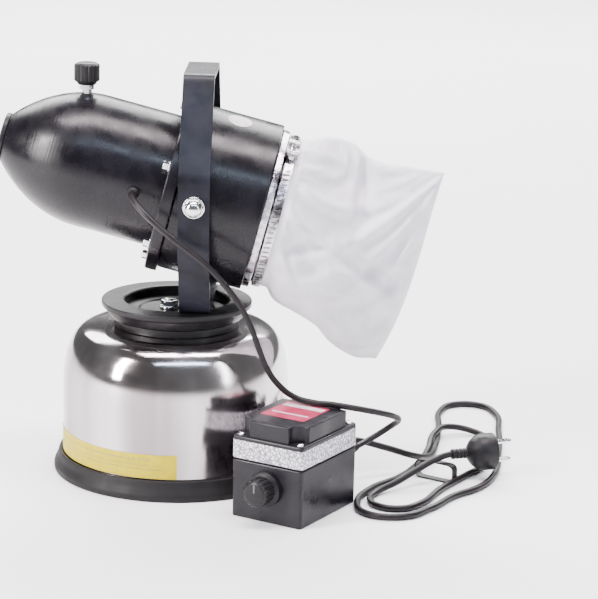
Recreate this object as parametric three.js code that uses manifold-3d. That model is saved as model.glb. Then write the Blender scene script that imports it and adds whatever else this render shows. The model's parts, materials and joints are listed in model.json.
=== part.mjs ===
// Electric cold fogger: a stainless tank in a rubber boot, a tilting blower head on a
// flat-bar yoke that is also the handle, a cloth intake filter, and a separate speed
// control box with its mains lead.
//
// Millimetres, +Z up. The origin is the middle of the boot's underside, on the floor.
// The blower's outlet points towards -X and its filter towards +X; the control box
// stands on the floor at +X, -Y.

import * as THREE from "three";
import { mergeVertices } from "three/addons/utils/BufferGeometryUtils.js";
import Module from "manifold-3d";

const wasm = await Module();
wasm.setup();

// ---------------------------------------------------------------- driving dimensions

const GAP = 0.3;                     // clearance between pieces that touch

const TANK_RADIUS = 112;
const TANK_WALL = 1.5;
const BOOT_RADIUS = 121;
const BOOT_HEIGHT = 20;
const BOOT_FLOOR = 5;
const SHOULDER_START = 88;           // height where the tank's side starts to turn in
const SHOULDER_HEIGHT = 59.7;
const SHOULDER_WIDTH = 54;
const NECK_RADIUS = 58;
const NECK_TOP = 155.5;
const COLLAR_RADIUS = 74.6;
const COLLAR_TOP = 173;
const RECESS_RADIUS = 51;
const LID_TOP = 164;
const LID_BOLT_X = -7.4;

const YOKE_X = 21.5;                 // middle of the flat bar
const BAR_WIDTH = 30;
const BAR_THICKNESS = 5;
const YOKE_HALF_WIDTH = 97;
const YOKE_TOP_HALF_WIDTH = 43;
const YOKE_FOOT_HALF_WIDTH = 62;
const YOKE_LOW_BEND = 245;
const YOKE_HIGH_BEND = 314;
const YOKE_TOP = 404;
const PIVOT_HEIGHT = 286;

const HEAD_TILT = THREE.MathUtils.degToRad(14);  // nose up, as it stands
const HEAD_AXIS_HEIGHT = 282.8;      // blower axis where it crosses the yoke
const HOUSING_RADIUS = 83;
const HOUSING_FRONT = -20.7;         // places along the blower axis, nose negative
const HOUSING_REAR = 63;
const HOUSING_WALL = 2.5;
const FLANGE_RADIUS = 87.5;
const FLANGE_THICKNESS = 12;
const BOLT_CIRCLE_RADIUS = 80.5;
const BOLT_COUNT = 6;
const FIRST_BOLT_ANGLE = 22;         // degrees above the side that faces -Y
const NOSE_RADIUS = 65.8;
const NOSE_DOME_START = -110;
const NOSE_TIP = -196;
const OUTLET_RADIUS = 23.5;
const RIM_RADIUS = 79;
const RIM_NECK_RADIUS = 72.5;
const RIM_END = 92;
const KNOB_X = -90;                  // flow knob, in the row's frame
const KNOB_RADIUS = 12.5;
const KNOB_BOTTOM = 385;
const KNOB_TOP = 406;

const BOX_WIDTH = 77;
const BOX_DEPTH = 102;
const BOX_BASE_HEIGHT = 57;
const BOX_LIP_HEIGHT = 80;
const BOX_HEIGHT = 96;
const BOX_X = 123.1;
const BOX_Y = -123.6;
const BOX_TURN = THREE.MathUtils.degToRad(-29.7);
const GLAND_HEIGHT = 47;
const GLAND_LENGTH = 25;
const MOTOR_GLAND_X = 24.4;          // along the box's rear face
const MAINS_GLAND_X = 4.4;
const SPEED_KNOB_HEIGHT = 34;
const SPEED_KNOB_RADIUS = 17;

const MOTOR_LEAD_RADIUS = 3;
const MAINS_LEAD_RADIUS = 3.3;
const HOSE_RADIUS = 3.5;
const HOSE_BARB_Y = 38;              // feed hose fitting on the yoke's bottom plate

// ---------------------------------------------------------------- materials

function finish(color, roughness, metalness) {
  return { color, roughness, metalness };
}

const RUBBER = finish(0x161616, 0.8, 0);
const STAINLESS = finish(0xc9c9cc, 0.18, 1);
const CHROME = finish(0xd8d8dc, 0.12, 1);
const BLACK_ENAMEL = finish(0x101014, 0.3, 0);
const BLACK_PLASTIC = finish(0x17171a, 0.5, 0);
const BLACK_BAR = finish(0x23242c, 0.42, 0);
const BRASS = finish(0xb08d3c, 0.3, 1);
const STEEL = finish(0x8f9196, 0.35, 1);
const CLOTH = finish(0xeceaf0, 0.95, 0);
const BOARD = finish(0x1f6b3a, 0.6, 0);

// ---------------------------------------------------------------- geometry helpers

// One closed shell with shared vertices, no flat triangles, and faces pointing out.
function closed(geometry) {
  const bare = geometry.clone();
  bare.deleteAttribute("normal");
  bare.deleteAttribute("uv");
  const merged = mergeVertices(bare, 1e-3);
  const p = merged.attributes.position;
  const index = merged.index.array;
  const kept = [];
  let volume = 0;
  const a = new THREE.Vector3();
  const b = new THREE.Vector3();
  const c = new THREE.Vector3();
  for (let i = 0; i < index.length; i += 3) {
    const [i0, i1, i2] = [index[i], index[i + 1], index[i + 2]];
    if (i0 === i1 || i1 === i2 || i2 === i0) continue;
    kept.push([i0, i1, i2]);
    a.fromBufferAttribute(p, i0);
    b.fromBufferAttribute(p, i1);
    c.fromBufferAttribute(p, i2);
    volume += a.dot(b.cross(c));
  }
  const faces = volume > 0 ? kept : kept.map(([i0, i1, i2]) => [i0, i2, i1]);
  merged.setIndex(faces.flat());
  return merged;
}

function toSolid(geometry) {
  const shell = closed(geometry);
  return new wasm.Manifold(new wasm.Mesh({
    numProp: 3,
    vertProperties: new Float32Array(shell.attributes.position.array),
    triVerts: new Uint32Array(shell.index.array),
  }));
}

function fromSolid(solid) {
  const { numProp, vertProperties, triVerts } = solid.getMesh();
  const positions = [];
  for (let i = 0; i < vertProperties.length; i += numProp) {
    positions.push(vertProperties[i], vertProperties[i + 1], vertProperties[i + 2]);
  }
  const geometry = new THREE.BufferGeometry();
  geometry.setAttribute("position", new THREE.Float32BufferAttribute(positions, 3));
  geometry.setIndex(Array.from(triVerts));
  return geometry;
}

function cut(body, ...tools) {
  const solid = tools.reduce((rest, tool) => rest.subtract(toSolid(tool)), toSolid(body));
  return fromSolid(solid);
}

function join(...bodies) {
  const [first, ...rest] = bodies.map(toSolid);
  return fromSolid(rest.reduce((whole, body) => whole.add(body), first));
}

// A turned solid about Z from [radius, height] pairs that start and end on the axis.
function turned(profile, segments = 32) {
  const points = profile.map(([r, z]) => new THREE.Vector2(r, z));
  return new THREE.LatheGeometry(points, segments).rotateX(Math.PI / 2);
}

// A turned ring about Z: its profile closes on itself.
function ring(profile, segments = 32) {
  return turned([...profile, profile[0]], segments);
}

function tube(outer, inner, bottom, top, segments = 32) {
  return ring([[outer, bottom], [outer, top], [inner, top], [inner, bottom]], segments);
}

function rod(radius, bottom, top, segments = 14) {
  return turned([[0, bottom], [radius, bottom], [radius, top], [0, top]], segments);
}

function hexagon(acrossFlats, bottom, top) {
  return rod(acrossFlats / Math.sqrt(3), bottom, top, 6);
}

// Turns a piece built about Z so that its +Z becomes the blower's +X.
function alongX(geometry) {
  return geometry.rotateY(Math.PI / 2);
}

function slab(shape, depth, curveSegments = 6) {
  return new THREE.ExtrudeGeometry(shape, { depth, bevelEnabled: false, curveSegments });
}

function outline(points) {
  return new THREE.Shape(points.map(([x, y]) => new THREE.Vector2(x, y)));
}

function roundedRectangle(width, depth, radius) {
  const [x, y] = [width / 2, depth / 2];
  const shape = new THREE.Shape();
  shape.moveTo(-x + radius, -y);
  shape.absarc(x - radius, -y + radius, radius, -Math.PI / 2, 0, false);
  shape.absarc(x - radius, y - radius, radius, 0, Math.PI / 2, false);
  shape.absarc(-x + radius, y - radius, radius, Math.PI / 2, Math.PI, false);
  shape.absarc(-x + radius, -y + radius, radius, Math.PI, Math.PI * 1.5, false);
  return shape;
}

// A solid round cord along a smooth curve through the given points.
function cord(points, radius, steps, sides = 6) {
  const section = new THREE.Shape();
  for (let i = 0; i < sides; i += 1) {
    const angle = (i / sides) * Math.PI * 2;
    const [x, y] = [radius * Math.cos(angle), radius * Math.sin(angle)];
    if (i === 0) section.moveTo(x, y);
    else section.lineTo(x, y);
  }
  const path = new THREE.CatmullRomCurve3(points.map((point) => new THREE.Vector3(...point)));
  return new THREE.ExtrudeGeometry(section, { steps, extrudePath: path, bevelEnabled: false });
}

// ---------------------------------------------------------------- scene graph

const fogger = new THREE.Group();

const head = new THREE.Group();
head.position.set(YOKE_X, 0, HEAD_AXIS_HEIGHT);
head.rotation.y = HEAD_TILT;
fogger.add(head);

const box = new THREE.Group();
box.position.set(BOX_X, BOX_Y, 0);
box.rotation.z = BOX_TURN;
fogger.add(box);

function add(group, name, geometry, look) {
  const mesh = new THREE.Mesh(closed(geometry), new THREE.MeshStandardMaterial(look));
  mesh.name = name;
  group.add(mesh);
  return mesh;
}

// ---------------------------------------------------------------- tank

// The shoulder's profile from the side wall up to the neck, shrunk by an inset.
function shoulder(inset, steps) {
  const points = [];
  for (let i = 0; i <= steps; i += 1) {
    const angle = (i / steps) * (Math.PI / 2);
    const inward = SHOULDER_WIDTH * (1 - Math.cos(angle) ** 0.42);
    const upward = SHOULDER_HEIGHT * Math.sin(angle);
    points.push([TANK_RADIUS - inward - inset, SHOULDER_START + upward - inset]);
  }
  return points;
}

function addTank() {
  const bottom = BOOT_FLOOR + GAP;
  const lipRadius = BOOT_RADIUS - 4.5;
  add(fogger, "base_boot", turned([
    [0, 0], [BOOT_RADIUS - 2, 0], [BOOT_RADIUS, 2], [BOOT_RADIUS, 5], [lipRadius, BOOT_HEIGHT],
    [TANK_RADIUS + GAP, BOOT_HEIGHT], [TANK_RADIUS + GAP, BOOT_FLOOR], [0, BOOT_FLOOR],
  ], 44), RUBBER);

  add(fogger, "tank_shell", turned([
    [0, bottom], [TANK_RADIUS - 4, bottom], [TANK_RADIUS, bottom + 4],
    ...shoulder(0, 6),
    [NECK_RADIUS, NECK_TOP], [NECK_RADIUS - TANK_WALL, NECK_TOP],
    ...shoulder(TANK_WALL, 3).reverse(),
    [TANK_RADIUS - TANK_WALL, bottom + 5], [TANK_RADIUS - 5, bottom + TANK_WALL],
    [0, bottom + TANK_WALL],
  ], 36), STAINLESS);

  const shoulderTop = SHOULDER_START + SHOULDER_HEIGHT;
  add(fogger, "neck_ring", ring([
    [62, shoulderTop + GAP], [62, NECK_TOP], [NECK_RADIUS + GAP, NECK_TOP],
    [NECK_RADIUS + GAP, shoulderTop + GAP],
  ]), BLACK_PLASTIC);
  add(fogger, "neck_gasket", tube(62, 53, NECK_TOP + GAP, NECK_TOP + 1.3), RUBBER);

  const collarBottom = NECK_TOP + 1.6;
  add(fogger, "collar", ring([
    [66, collarBottom], [COLLAR_RADIUS - 0.6, COLLAR_TOP - 5], [COLLAR_RADIUS, COLLAR_TOP - 4],
    [COLLAR_RADIUS, COLLAR_TOP - 1], [COLLAR_RADIUS - 1, COLLAR_TOP],
    [RECESS_RADIUS, COLLAR_TOP], [RECESS_RADIUS, collarBottom],
  ], 44), BLACK_PLASTIC);

  const fittingHole = rod(5 + GAP, collarBottom - 1, LID_TOP + 1).translate(LID_BOLT_X, 2, 0);
  add(fogger, "lid_plate", cut(
    rod(RECESS_RADIUS - GAP, collarBottom, LID_TOP, 36),
    fittingHole,
  ), BLACK_PLASTIC);
}

// The hexagon fitting on the lid goes down through it into the pick-up pipe.
function addPickup() {
  const boltHead = join(
    rod(9.6, LID_TOP + GAP, LID_TOP + 1.5, 16),
    hexagon(15, LID_TOP + 1, LID_TOP + 7),
    rod(4.2, LID_TOP + 6.5, LID_TOP + 8.5),
    rod(5, 150, LID_TOP + 1),
  );
  add(fogger, "lid_fitting", boltHead.translate(LID_BOLT_X, 2, 0), CHROME);

  const pipe = join(
    rod(4, 18, 149.7, 16),
    turned([[0, 9], [8, 9], [9, 10], [9, 18], [6, 20], [0, 20]], 14),
  );
  add(fogger, "pickup_pipe", pipe.translate(LID_BOLT_X, 2, 0), STEEL);
}

// ---------------------------------------------------------------- yoke and its fasteners

// The bar's outline in the Y-Z plane, at a distance inside its outer face.
function yokeLoop(inset) {
  const half = [
    [YOKE_FOOT_HALF_WIDTH - 3, COLLAR_TOP + GAP],
    [YOKE_FOOT_HALF_WIDTH, COLLAR_TOP + 5],
    [YOKE_HALF_WIDTH, YOKE_LOW_BEND],
    [YOKE_HALF_WIDTH, YOKE_HIGH_BEND],
    [YOKE_TOP_HALF_WIDTH + 2, YOKE_TOP - 4],
    [YOKE_TOP_HALF_WIDTH - 3, YOKE_TOP],
  ];
  const loop = [...half, ...half.map(([y, z]) => [-y, z]).reverse()];
  const centre = (COLLAR_TOP + YOKE_TOP) / 2;
  return loop.map(([y, z], i) => {
    const [y0, z0] = loop[(i + loop.length - 1) % loop.length];
    const [y1, z1] = loop[(i + 1) % loop.length];
    const before = new THREE.Vector2(z - z0, y0 - y).normalize();
    const after = new THREE.Vector2(z1 - z, y - y1).normalize();
    const outward = before.clone().add(after).normalize();
    const reach = inset / outward.dot(before);
    return [y - outward.x * reach, z - centre - outward.y * reach];
  });
}

function addYoke() {
  const centre = (COLLAR_TOP + YOKE_TOP) / 2;
  const bar = outline(yokeLoop(0));
  bar.holes.push(new THREE.Path(yokeLoop(BAR_THICKNESS).map(([y, z]) => new THREE.Vector2(y, z))));
  const loop = slab(bar, BAR_WIDTH)
    .rotateX(Math.PI / 2)
    .rotateZ(Math.PI / 2)
    .translate(YOKE_X - BAR_WIDTH / 2, 0, centre);
  const pivotHole = rod(5 + GAP, -110, 110).rotateX(Math.PI / 2).translate(YOKE_X, 0, PIVOT_HEIGHT);
  const footHoles = [-24, 24].map((y) => rod(3 + GAP, 165, 190).translate(YOKE_X, y, 0));
  const hoseHole = rod(5 + GAP, 165, 190).translate(YOKE_X, HOSE_BARB_Y, 0);
  add(fogger, "yoke", cut(loop, pivotHole, ...footHoles, hoseHole), BLACK_BAR);

  for (const [name, y] of [["yoke_screw_front", -24], ["yoke_screw_rear", 24]]) {
    const plateTop = COLLAR_TOP + GAP + BAR_THICKNESS;
    const screw = join(
      hexagon(10, plateTop + GAP, plateTop + 4.5),
      rod(3, LID_TOP + GAP, plateTop + 1),
    );
    add(fogger, name, screw.translate(YOKE_X, y, 0), STEEL);
  }
}

// Domed nut outside the arm, bolt through it, and a fibre washer against the housing.
function addPivots() {
  for (const [side, sign] of [["front", -1], ["rear", 1]]) {
    const face = YOKE_HALF_WIDTH;
    const nut = join(
      turned([[0, face + GAP], [10.5, face + GAP], [10.5, face + 2], [0, face + 2]], 16),
      hexagon(17, face + 1.5, face + 7),
      turned([[0, face + 6], [8.2, face + 6], [7, face + 10], [3.6, face + 12.4], [0, face + 13]], 14),
      rod(5, HOUSING_RADIUS + 1.2, face + 7),
    );
    add(fogger, `pivot_bolt_${side}`, turnToSide(nut, sign), CHROME);
    const washer = tube(12, 5 + GAP, HOUSING_RADIUS + 1.2, face - BAR_THICKNESS - GAP, 16);
    add(fogger, `pivot_washer_${side}`, turnToSide(washer, sign), RUBBER);
  }
}

// Lays a piece built about Z along +Y or -Y, on the tilt axis.
function turnToSide(geometry, sign) {
  return geometry.rotateX(-sign * Math.PI / 2).translate(YOKE_X, 0, PIVOT_HEIGHT);
}

// ---------------------------------------------------------------- blower head

function noseProfile(inset, steps) {
  const curve = new THREE.CubicBezierCurve(
    new THREE.Vector2(NOSE_DOME_START, NOSE_RADIUS - inset),
    new THREE.Vector2(NOSE_DOME_START - 32, NOSE_RADIUS - inset),
    new THREE.Vector2(NOSE_DOME_START - 64, NOSE_RADIUS - 16.8 - inset),
    new THREE.Vector2(NOSE_TIP, OUTLET_RADIUS - inset),
  );
  return curve.getPoints(steps).map((point) => [point.y, point.x]);
}

function addHousings() {
  const flangeFront = HOUSING_FRONT - GAP - FLANGE_THICKNESS;
  add(head, "motor_housing", alongX(ring([
    [HOUSING_RADIUS, HOUSING_FRONT], [HOUSING_RADIUS, HOUSING_REAR - 1.5],
    [HOUSING_RADIUS - 1.5, HOUSING_REAR], [HOUSING_RADIUS - HOUSING_WALL, HOUSING_REAR],
    [HOUSING_RADIUS - HOUSING_WALL, HOUSING_FRONT],
  ], 44)), BLACK_ENAMEL);

  const shankHoles = boltAngles().map((angle) => alongX(
    onBoltCircle(rod(3 + GAP, flangeFront - 5, HOUSING_FRONT - 3, 8), angle),
  ));
  add(head, "flange_ring", cut(alongX(ring([
    [FLANGE_RADIUS - 1.5, flangeFront], [FLANGE_RADIUS, flangeFront + 1.5],
    [FLANGE_RADIUS, HOUSING_FRONT - GAP - 1.5], [FLANGE_RADIUS - 1.5, HOUSING_FRONT - GAP],
    [58, HOUSING_FRONT - GAP], [58, flangeFront],
  ], 36)), ...shankHoles), BLACK_ENAMEL);

  const noseRear = flangeFront - GAP;
  const valveHole = rod(5 + GAP, 40, 90)
    .rotateY(-HEAD_TILT)
    .translate(...inHead(KNOB_X, 0, 300));
  add(head, "nose_shell", cut(alongX(ring([
    [NOSE_RADIUS, noseRear],
    ...noseProfile(0, 7),
    ...noseProfile(HOUSING_WALL, 4).reverse(),
    [NOSE_RADIUS - HOUSING_WALL, noseRear],
  ], 36)), valveHole), BLACK_ENAMEL);

  boltAngles().forEach((angle, i) => {
    const bolt = join(
      rod(5.6, flangeFront - 1.3, flangeFront - GAP, 14),
      hexagon(8, flangeFront - 6.5, flangeFront - 1),
      rod(3, flangeFront - 5, HOUSING_FRONT - 3.5, 8),
    );
    add(head, `flange_bolt_${i + 1}`, alongX(onBoltCircle(bolt, angle)), CHROME);
  });
}

function boltAngles() {
  return Array.from({ length: BOLT_COUNT }, (_, i) => (
    THREE.MathUtils.degToRad(FIRST_BOLT_ANGLE + (i * 360) / BOLT_COUNT)
  ));
}

// Moves a piece built about Z onto the bolt circle; the angle rises from -Y to the top.
function onBoltCircle(geometry, angle) {
  const [x, y] = [-Math.sin(angle) * BOLT_CIRCLE_RADIUS, -Math.cos(angle) * BOLT_CIRCLE_RADIUS];
  return geometry.translate(x, y, 0);
}

// The place in the head's own frame of a point given in the row's frame.
function inHead(x, y, z) {
  const point = new THREE.Vector3(x - YOKE_X, y, z - HEAD_AXIS_HEIGHT);
  return point.applyAxisAngle(new THREE.Vector3(0, 1, 0), -HEAD_TILT).toArray();
}

function addOutlet() {
  const bore = OUTLET_RADIUS - HOUSING_WALL - GAP;
  add(head, "outlet_ring", alongX(ring([
    [bore, NOSE_TIP + 10], [bore, NOSE_TIP - GAP], [24, NOSE_TIP - GAP], [24, NOSE_TIP - 4],
    [22.5, NOSE_TIP - 5], [18.4, NOSE_TIP - 5], [18.4, NOSE_TIP + 10],
  ], 28)), BLACK_PLASTIC);

  const blades = Array.from({ length: 6 }, (_, i) => (
    new THREE.BoxGeometry(12, 1.6, 10)
      .rotateX(THREE.MathUtils.degToRad(35))
      .translate(11.5, 0, NOSE_TIP + 6)
      .rotateZ((i * Math.PI) / 3)
  ));
  const vanes = join(
    tube(18.1, 16.6, NOSE_TIP, NOSE_TIP + 12, 20),
    tube(7.5, 5.3, NOSE_TIP, NOSE_TIP + 12, 12),
    ...blades,
  );
  add(head, "swirl_vanes", alongX(vanes), BLACK_PLASTIC);

  add(head, "fog_nozzle", alongX(turned([
    [0, NOSE_TIP - 3], [1.8, NOSE_TIP - 3], [5, NOSE_TIP + 1], [5, NOSE_TIP + 22],
    [3, NOSE_TIP + 22], [3, NOSE_TIP + 36], [0, NOSE_TIP + 36],
  ], 12)), BRASS);
}

function addMotor() {
  add(head, "motor", alongX(turned([
    [0, -14], [14, -14], [16, -8], [46, -6], [48, -4], [48, 44], [46, 46], [18, 50], [0, 50],
  ], 28)), STEEL);

  const arms = Array.from({ length: 3 }, (_, i) => (
    new THREE.BoxGeometry(31, 12, 6).translate(64, 0, 20).rotateZ((i * Math.PI * 2) / 3 + 0.5)
  ));
  const bracket = join(
    tube(HOUSING_RADIUS - HOUSING_WALL - 2 * GAP, 76, 17, 23, 28),
    tube(52, 48 + GAP, 17, 23, 28),
    ...arms,
  );
  add(head, "motor_bracket", alongX(bracket), BLACK_PLASTIC);

  add(head, "motor_shaft", alongX(rod(4, -74, -14 - GAP, 12)), STEEL);

  const blades = Array.from({ length: 7 }, (_, i) => (
    new THREE.BoxGeometry(40, 1.8, 20)
      .rotateZ(THREE.MathUtils.degToRad(35))
      .translate(35, 0, -57)
      .rotateZ((i * Math.PI * 2) / 7)
  ));
  const wheel = join(
    rod(57, -48, -46, 28),
    tube(14, 4 + GAP, -70, -45, 12),
    ...blades,
  );
  const boreForShaft = rod(4 + GAP, -80, -40, 12);
  add(head, "fan_wheel", alongX(cut(wheel, boreForShaft)), STEEL);
}

function addIntake() {
  add(head, "rear_rim", alongX(ring([
    [RIM_RADIUS, HOUSING_REAR + GAP], [RIM_RADIUS, HOUSING_REAR + 7],
    [RIM_NECK_RADIUS, HOUSING_REAR + 8], [RIM_NECK_RADIUS, RIM_END],
    [RIM_NECK_RADIUS - 2, RIM_END], [RIM_NECK_RADIUS - 2, HOUSING_REAR + GAP],
  ], 36)), STAINLESS);

  const guardRadius = RIM_NECK_RADIUS - 2 - 2 * GAP;
  const bars = Array.from({ length: 4 }, (_, i) => (
    new THREE.BoxGeometry(2 * guardRadius - 1, 3, 2).translate(0, 0, 68).rotateZ((i * Math.PI) / 4)
  ));
  add(head, "intake_guard", alongX(join(
    tube(guardRadius, guardRadius - 3, 67, 69, 24),
    tube(38, 35, 67, 69, 16),
    ...bars,
  )), STEEL);
}

// ---------------------------------------------------------------- cloth filter bag

const BAG_NECK_RADIUS = 74.6;
const BAG_SEAM_CENTRE = [219.8, 0, 213.6];      // middle of the sewn end, row's frame
const BAG_SEAM_HALF_WIDTH = 105;
const BAG_SEAM_LEAN = 0.38;                     // sewn end's lean from upright, radians

// One round-to-flat section of the bag, t going from 0 at the rim to 1 at the seam.
function bagSection(t, sides) {
  const start = new THREE.Vector3(...inRow(RIM_END - 2, 0, 0));
  const end = new THREE.Vector3(...BAG_SEAM_CENTRE);
  const centre = start.lerp(end, t);
  const lean = THREE.MathUtils.lerp(HEAD_TILT, BAG_SEAM_LEAN, t);
  const up = new THREE.Vector3(Math.sin(lean), 0, Math.cos(lean));
  const half = THREE.MathUtils.lerp(BAG_NECK_RADIUS - 1, BAG_SEAM_HALF_WIDTH, t ** 0.8);
  const thick = Math.max(2, (BAG_NECK_RADIUS - 1) * Math.sqrt(1 - t ** 1.6));
  return Array.from({ length: sides }, (_, i) => {
    const angle = (i / sides) * Math.PI * 2;
    const point = centre.clone().addScaledVector(up, half * Math.sin(angle));
    point.y += thick * Math.cos(angle);
    return point;
  });
}

// The place in the row's frame of a point given in the head's own frame.
function inRow(x, y, z) {
  const point = new THREE.Vector3(x, y, z).applyAxisAngle(new THREE.Vector3(0, 1, 0), HEAD_TILT);
  return [point.x + YOKE_X, point.y, point.z + HEAD_AXIS_HEIGHT];
}

// A closed skin over rings of points, with a fan over each end.
function loft(rings) {
  const sides = rings[0].length;
  const positions = rings.flat().flatMap((point) => point.toArray());
  const faces = [];
  for (let k = 0; k < rings.length - 1; k += 1) {
    for (let i = 0; i < sides; i += 1) {
      const [a, b] = [k * sides + i, k * sides + ((i + 1) % sides)];
      faces.push(a, b, b + sides, a, b + sides, a + sides);
    }
  }
  for (const [ringStart, flip] of [[0, true], [(rings.length - 1) * sides, false]]) {
    for (let i = 1; i < sides - 1; i += 1) {
      const [a, b] = [ringStart + i, ringStart + i + 1];
      faces.push(ringStart, flip ? b : a, flip ? a : b);
    }
  }
  const geometry = new THREE.BufferGeometry();
  geometry.setAttribute("position", new THREE.Float32BufferAttribute(positions, 3));
  geometry.setIndex(faces);
  return geometry;
}

function addFilterBag() {
  const sections = 8;
  const rings = Array.from({ length: sections }, (_, k) => bagSection(k / (sections - 1), 20));
  const ontoHead = (geometry) => alongX(geometry)
    .rotateY(HEAD_TILT)
    .translate(YOKE_X, 0, HEAD_AXIS_HEIGHT);
  const sleeve = ontoHead(
    tube(BAG_NECK_RADIUS + 0.8, RIM_NECK_RADIUS + GAP, HOUSING_REAR + 9, RIM_END + 3, 36),
  );
  const rimRoom = ontoHead(rod(RIM_NECK_RADIUS + GAP, HOUSING_REAR, RIM_END + GAP, 36));
  add(fogger, "filter_bag", cut(join(loft(rings), sleeve), rimRoom), CLOTH);
}

// Worm-drive clamp round the bag's neck, its screw housing high on the -Y side.
function addClamp() {
  const [inner, start, end] = [BAG_NECK_RADIUS + 1.1, HOUSING_REAR + 9, HOUSING_REAR + 18];
  const angle = THREE.MathUtils.degToRad(62);
  const middle = (start + end) / 2;
  const seat = inner + 4.2;
  const housing = new THREE.BoxGeometry(8, 22, 12);
  const screwBore = rod(2.8, -20, 20, 12).rotateX(Math.PI / 2);
  add(head, "clamp_band", join(
    alongX(tube(inner + 1, inner, start, end, 36)),
    placeOnClamp(cut(housing, screwBore), seat, angle, middle),
  ), STAINLESS);

  const screw = join(
    rod(2.5, -13, 15, 12),
    hexagon(7, 14, 18.5),
  ).rotateX(Math.PI / 2);
  add(head, "clamp_screw", placeOnClamp(screw, seat, angle, middle), CHROME);
}

// Sets a piece whose own X points outwards and Y along the band at an angle on it.
function placeOnClamp(geometry, radius, angle, place) {
  return alongX(geometry
    .translate(radius, 0, 0)
    .rotateZ(Math.PI * 1.5 - angle)
    .translate(0, 0, place));
}

// ---------------------------------------------------------------- flow valve

function addFlowValve() {
  const upright = (geometry) => geometry.rotateY(-HEAD_TILT).translate(...inHead(KNOB_X, 0, 0));
  add(head, "valve_stem", upright(join(
    rod(5, 352, KNOB_BOTTOM - 4, 14),
    turned([[0, 380.5], [7.7, 380.5], [7.7, KNOB_BOTTOM - GAP], [0, KNOB_BOTTOM - GAP]], 16),
  )), CHROME);

  const ribs = 16;
  const grip = new THREE.Shape();
  for (let i = 0; i < ribs * 2; i += 1) {
    const radius = i % 2 ? KNOB_RADIUS - 1 : KNOB_RADIUS;
    const angle = (i / (ribs * 2)) * Math.PI * 2;
    const [x, y] = [radius * Math.cos(angle), radius * Math.sin(angle)];
    if (i === 0) grip.moveTo(x, y);
    else grip.lineTo(x, y);
  }
  add(head, "flow_knob", upright(join(
    slab(grip, KNOB_TOP - KNOB_BOTTOM - 5).translate(0, 0, KNOB_BOTTOM + 4),
    turned([[0, KNOB_BOTTOM], [9, KNOB_BOTTOM], [10.5, KNOB_BOTTOM + 4.5], [0, KNOB_BOTTOM + 4.5]], 20),
    turned([[0, KNOB_TOP - 1.5], [11, KNOB_TOP - 1.5], [9, KNOB_TOP], [0, KNOB_TOP]], 20),
  )), BLACK_PLASTIC);
}

// ---------------------------------------------------------------- control box

function addBox() {
  const base = slab(roundedRectangle(BOX_WIDTH, BOX_DEPTH, 3), BOX_BASE_HEIGHT - GAP);
  const hollow = slab(roundedRectangle(BOX_WIDTH - 5, BOX_DEPTH - 5, 1.5), BOX_BASE_HEIGHT)
    .translate(0, 0, 2.5);
  const shaftHole = rod(3 + GAP, BOX_DEPTH / 2 - 10, BOX_DEPTH / 2 + 10)
    .rotateX(Math.PI / 2)
    .translate(0, 0, SPEED_KNOB_HEIGHT);
  const glandHoles = [MOTOR_GLAND_X, MAINS_GLAND_X].map((x) => (
    rod(5 + GAP, BOX_DEPTH / 2 - 10, BOX_DEPTH / 2 + 10)
      .rotateX(-Math.PI / 2)
      .translate(x, 0, GLAND_HEIGHT)
  ));
  add(box, "box_base", cut(base, hollow, shaftHole, ...glandHoles), BLACK_PLASTIC);

  const skirt = slab(roundedRectangle(BOX_WIDTH, BOX_DEPTH, 3), BOX_LIP_HEIGHT - BOX_BASE_HEIGHT)
    .translate(0, 0, BOX_BASE_HEIGHT);
  const bevel = 3;
  const raised = new THREE.ExtrudeGeometry(roundedRectangle(BOX_WIDTH - 9, BOX_DEPTH - 9, 3), {
    depth: BOX_HEIGHT - BOX_LIP_HEIGHT - bevel + 1,
    bevelThickness: bevel,
    bevelSize: bevel,
    bevelSegments: 1,
    curveSegments: 4,
  }).translate(0, 0, BOX_LIP_HEIGHT - 1);
  const cavity = slab(roundedRectangle(BOX_WIDTH - 6, BOX_DEPTH - 6, 1.5), 18)
    .translate(0, 0, BOX_BASE_HEIGHT - 1);
  const pockets = boxCorners().map(([x, y]) => (
    rod(11, BOX_LIP_HEIGHT, BOX_HEIGHT + 1, 16).translate(x, y, 0)
  ));
  const screwHoles = boxCorners().map(([x, y]) => (
    rod(2, BOX_LIP_HEIGHT - 4, BOX_LIP_HEIGHT + 1, 8).translate(x, y, 0)
  ));
  add(box, "box_lid", cut(join(skirt, raised), cavity, ...pockets, ...screwHoles), BLACK_PLASTIC);

  boxCorners().forEach(([x, y], i) => {
    const screw = join(
      turned([[0, BOX_LIP_HEIGHT + GAP], [3.4, BOX_LIP_HEIGHT + GAP], [3, 82], [0, 82.6]], 12),
      rod(1.6, BOX_LIP_HEIGHT - 3.5, BOX_LIP_HEIGHT + 1, 8),
    );
    add(box, `lid_screw_${i + 1}`, screw.translate(x, y, 0), CHROME);
  });
}

function boxCorners() {
  const [x, y] = [BOX_WIDTH / 2 - 6.3, BOX_DEPTH / 2 - 6.3];
  return [[-x, -y], [x, -y], [x, y], [-x, y]];
}

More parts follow.
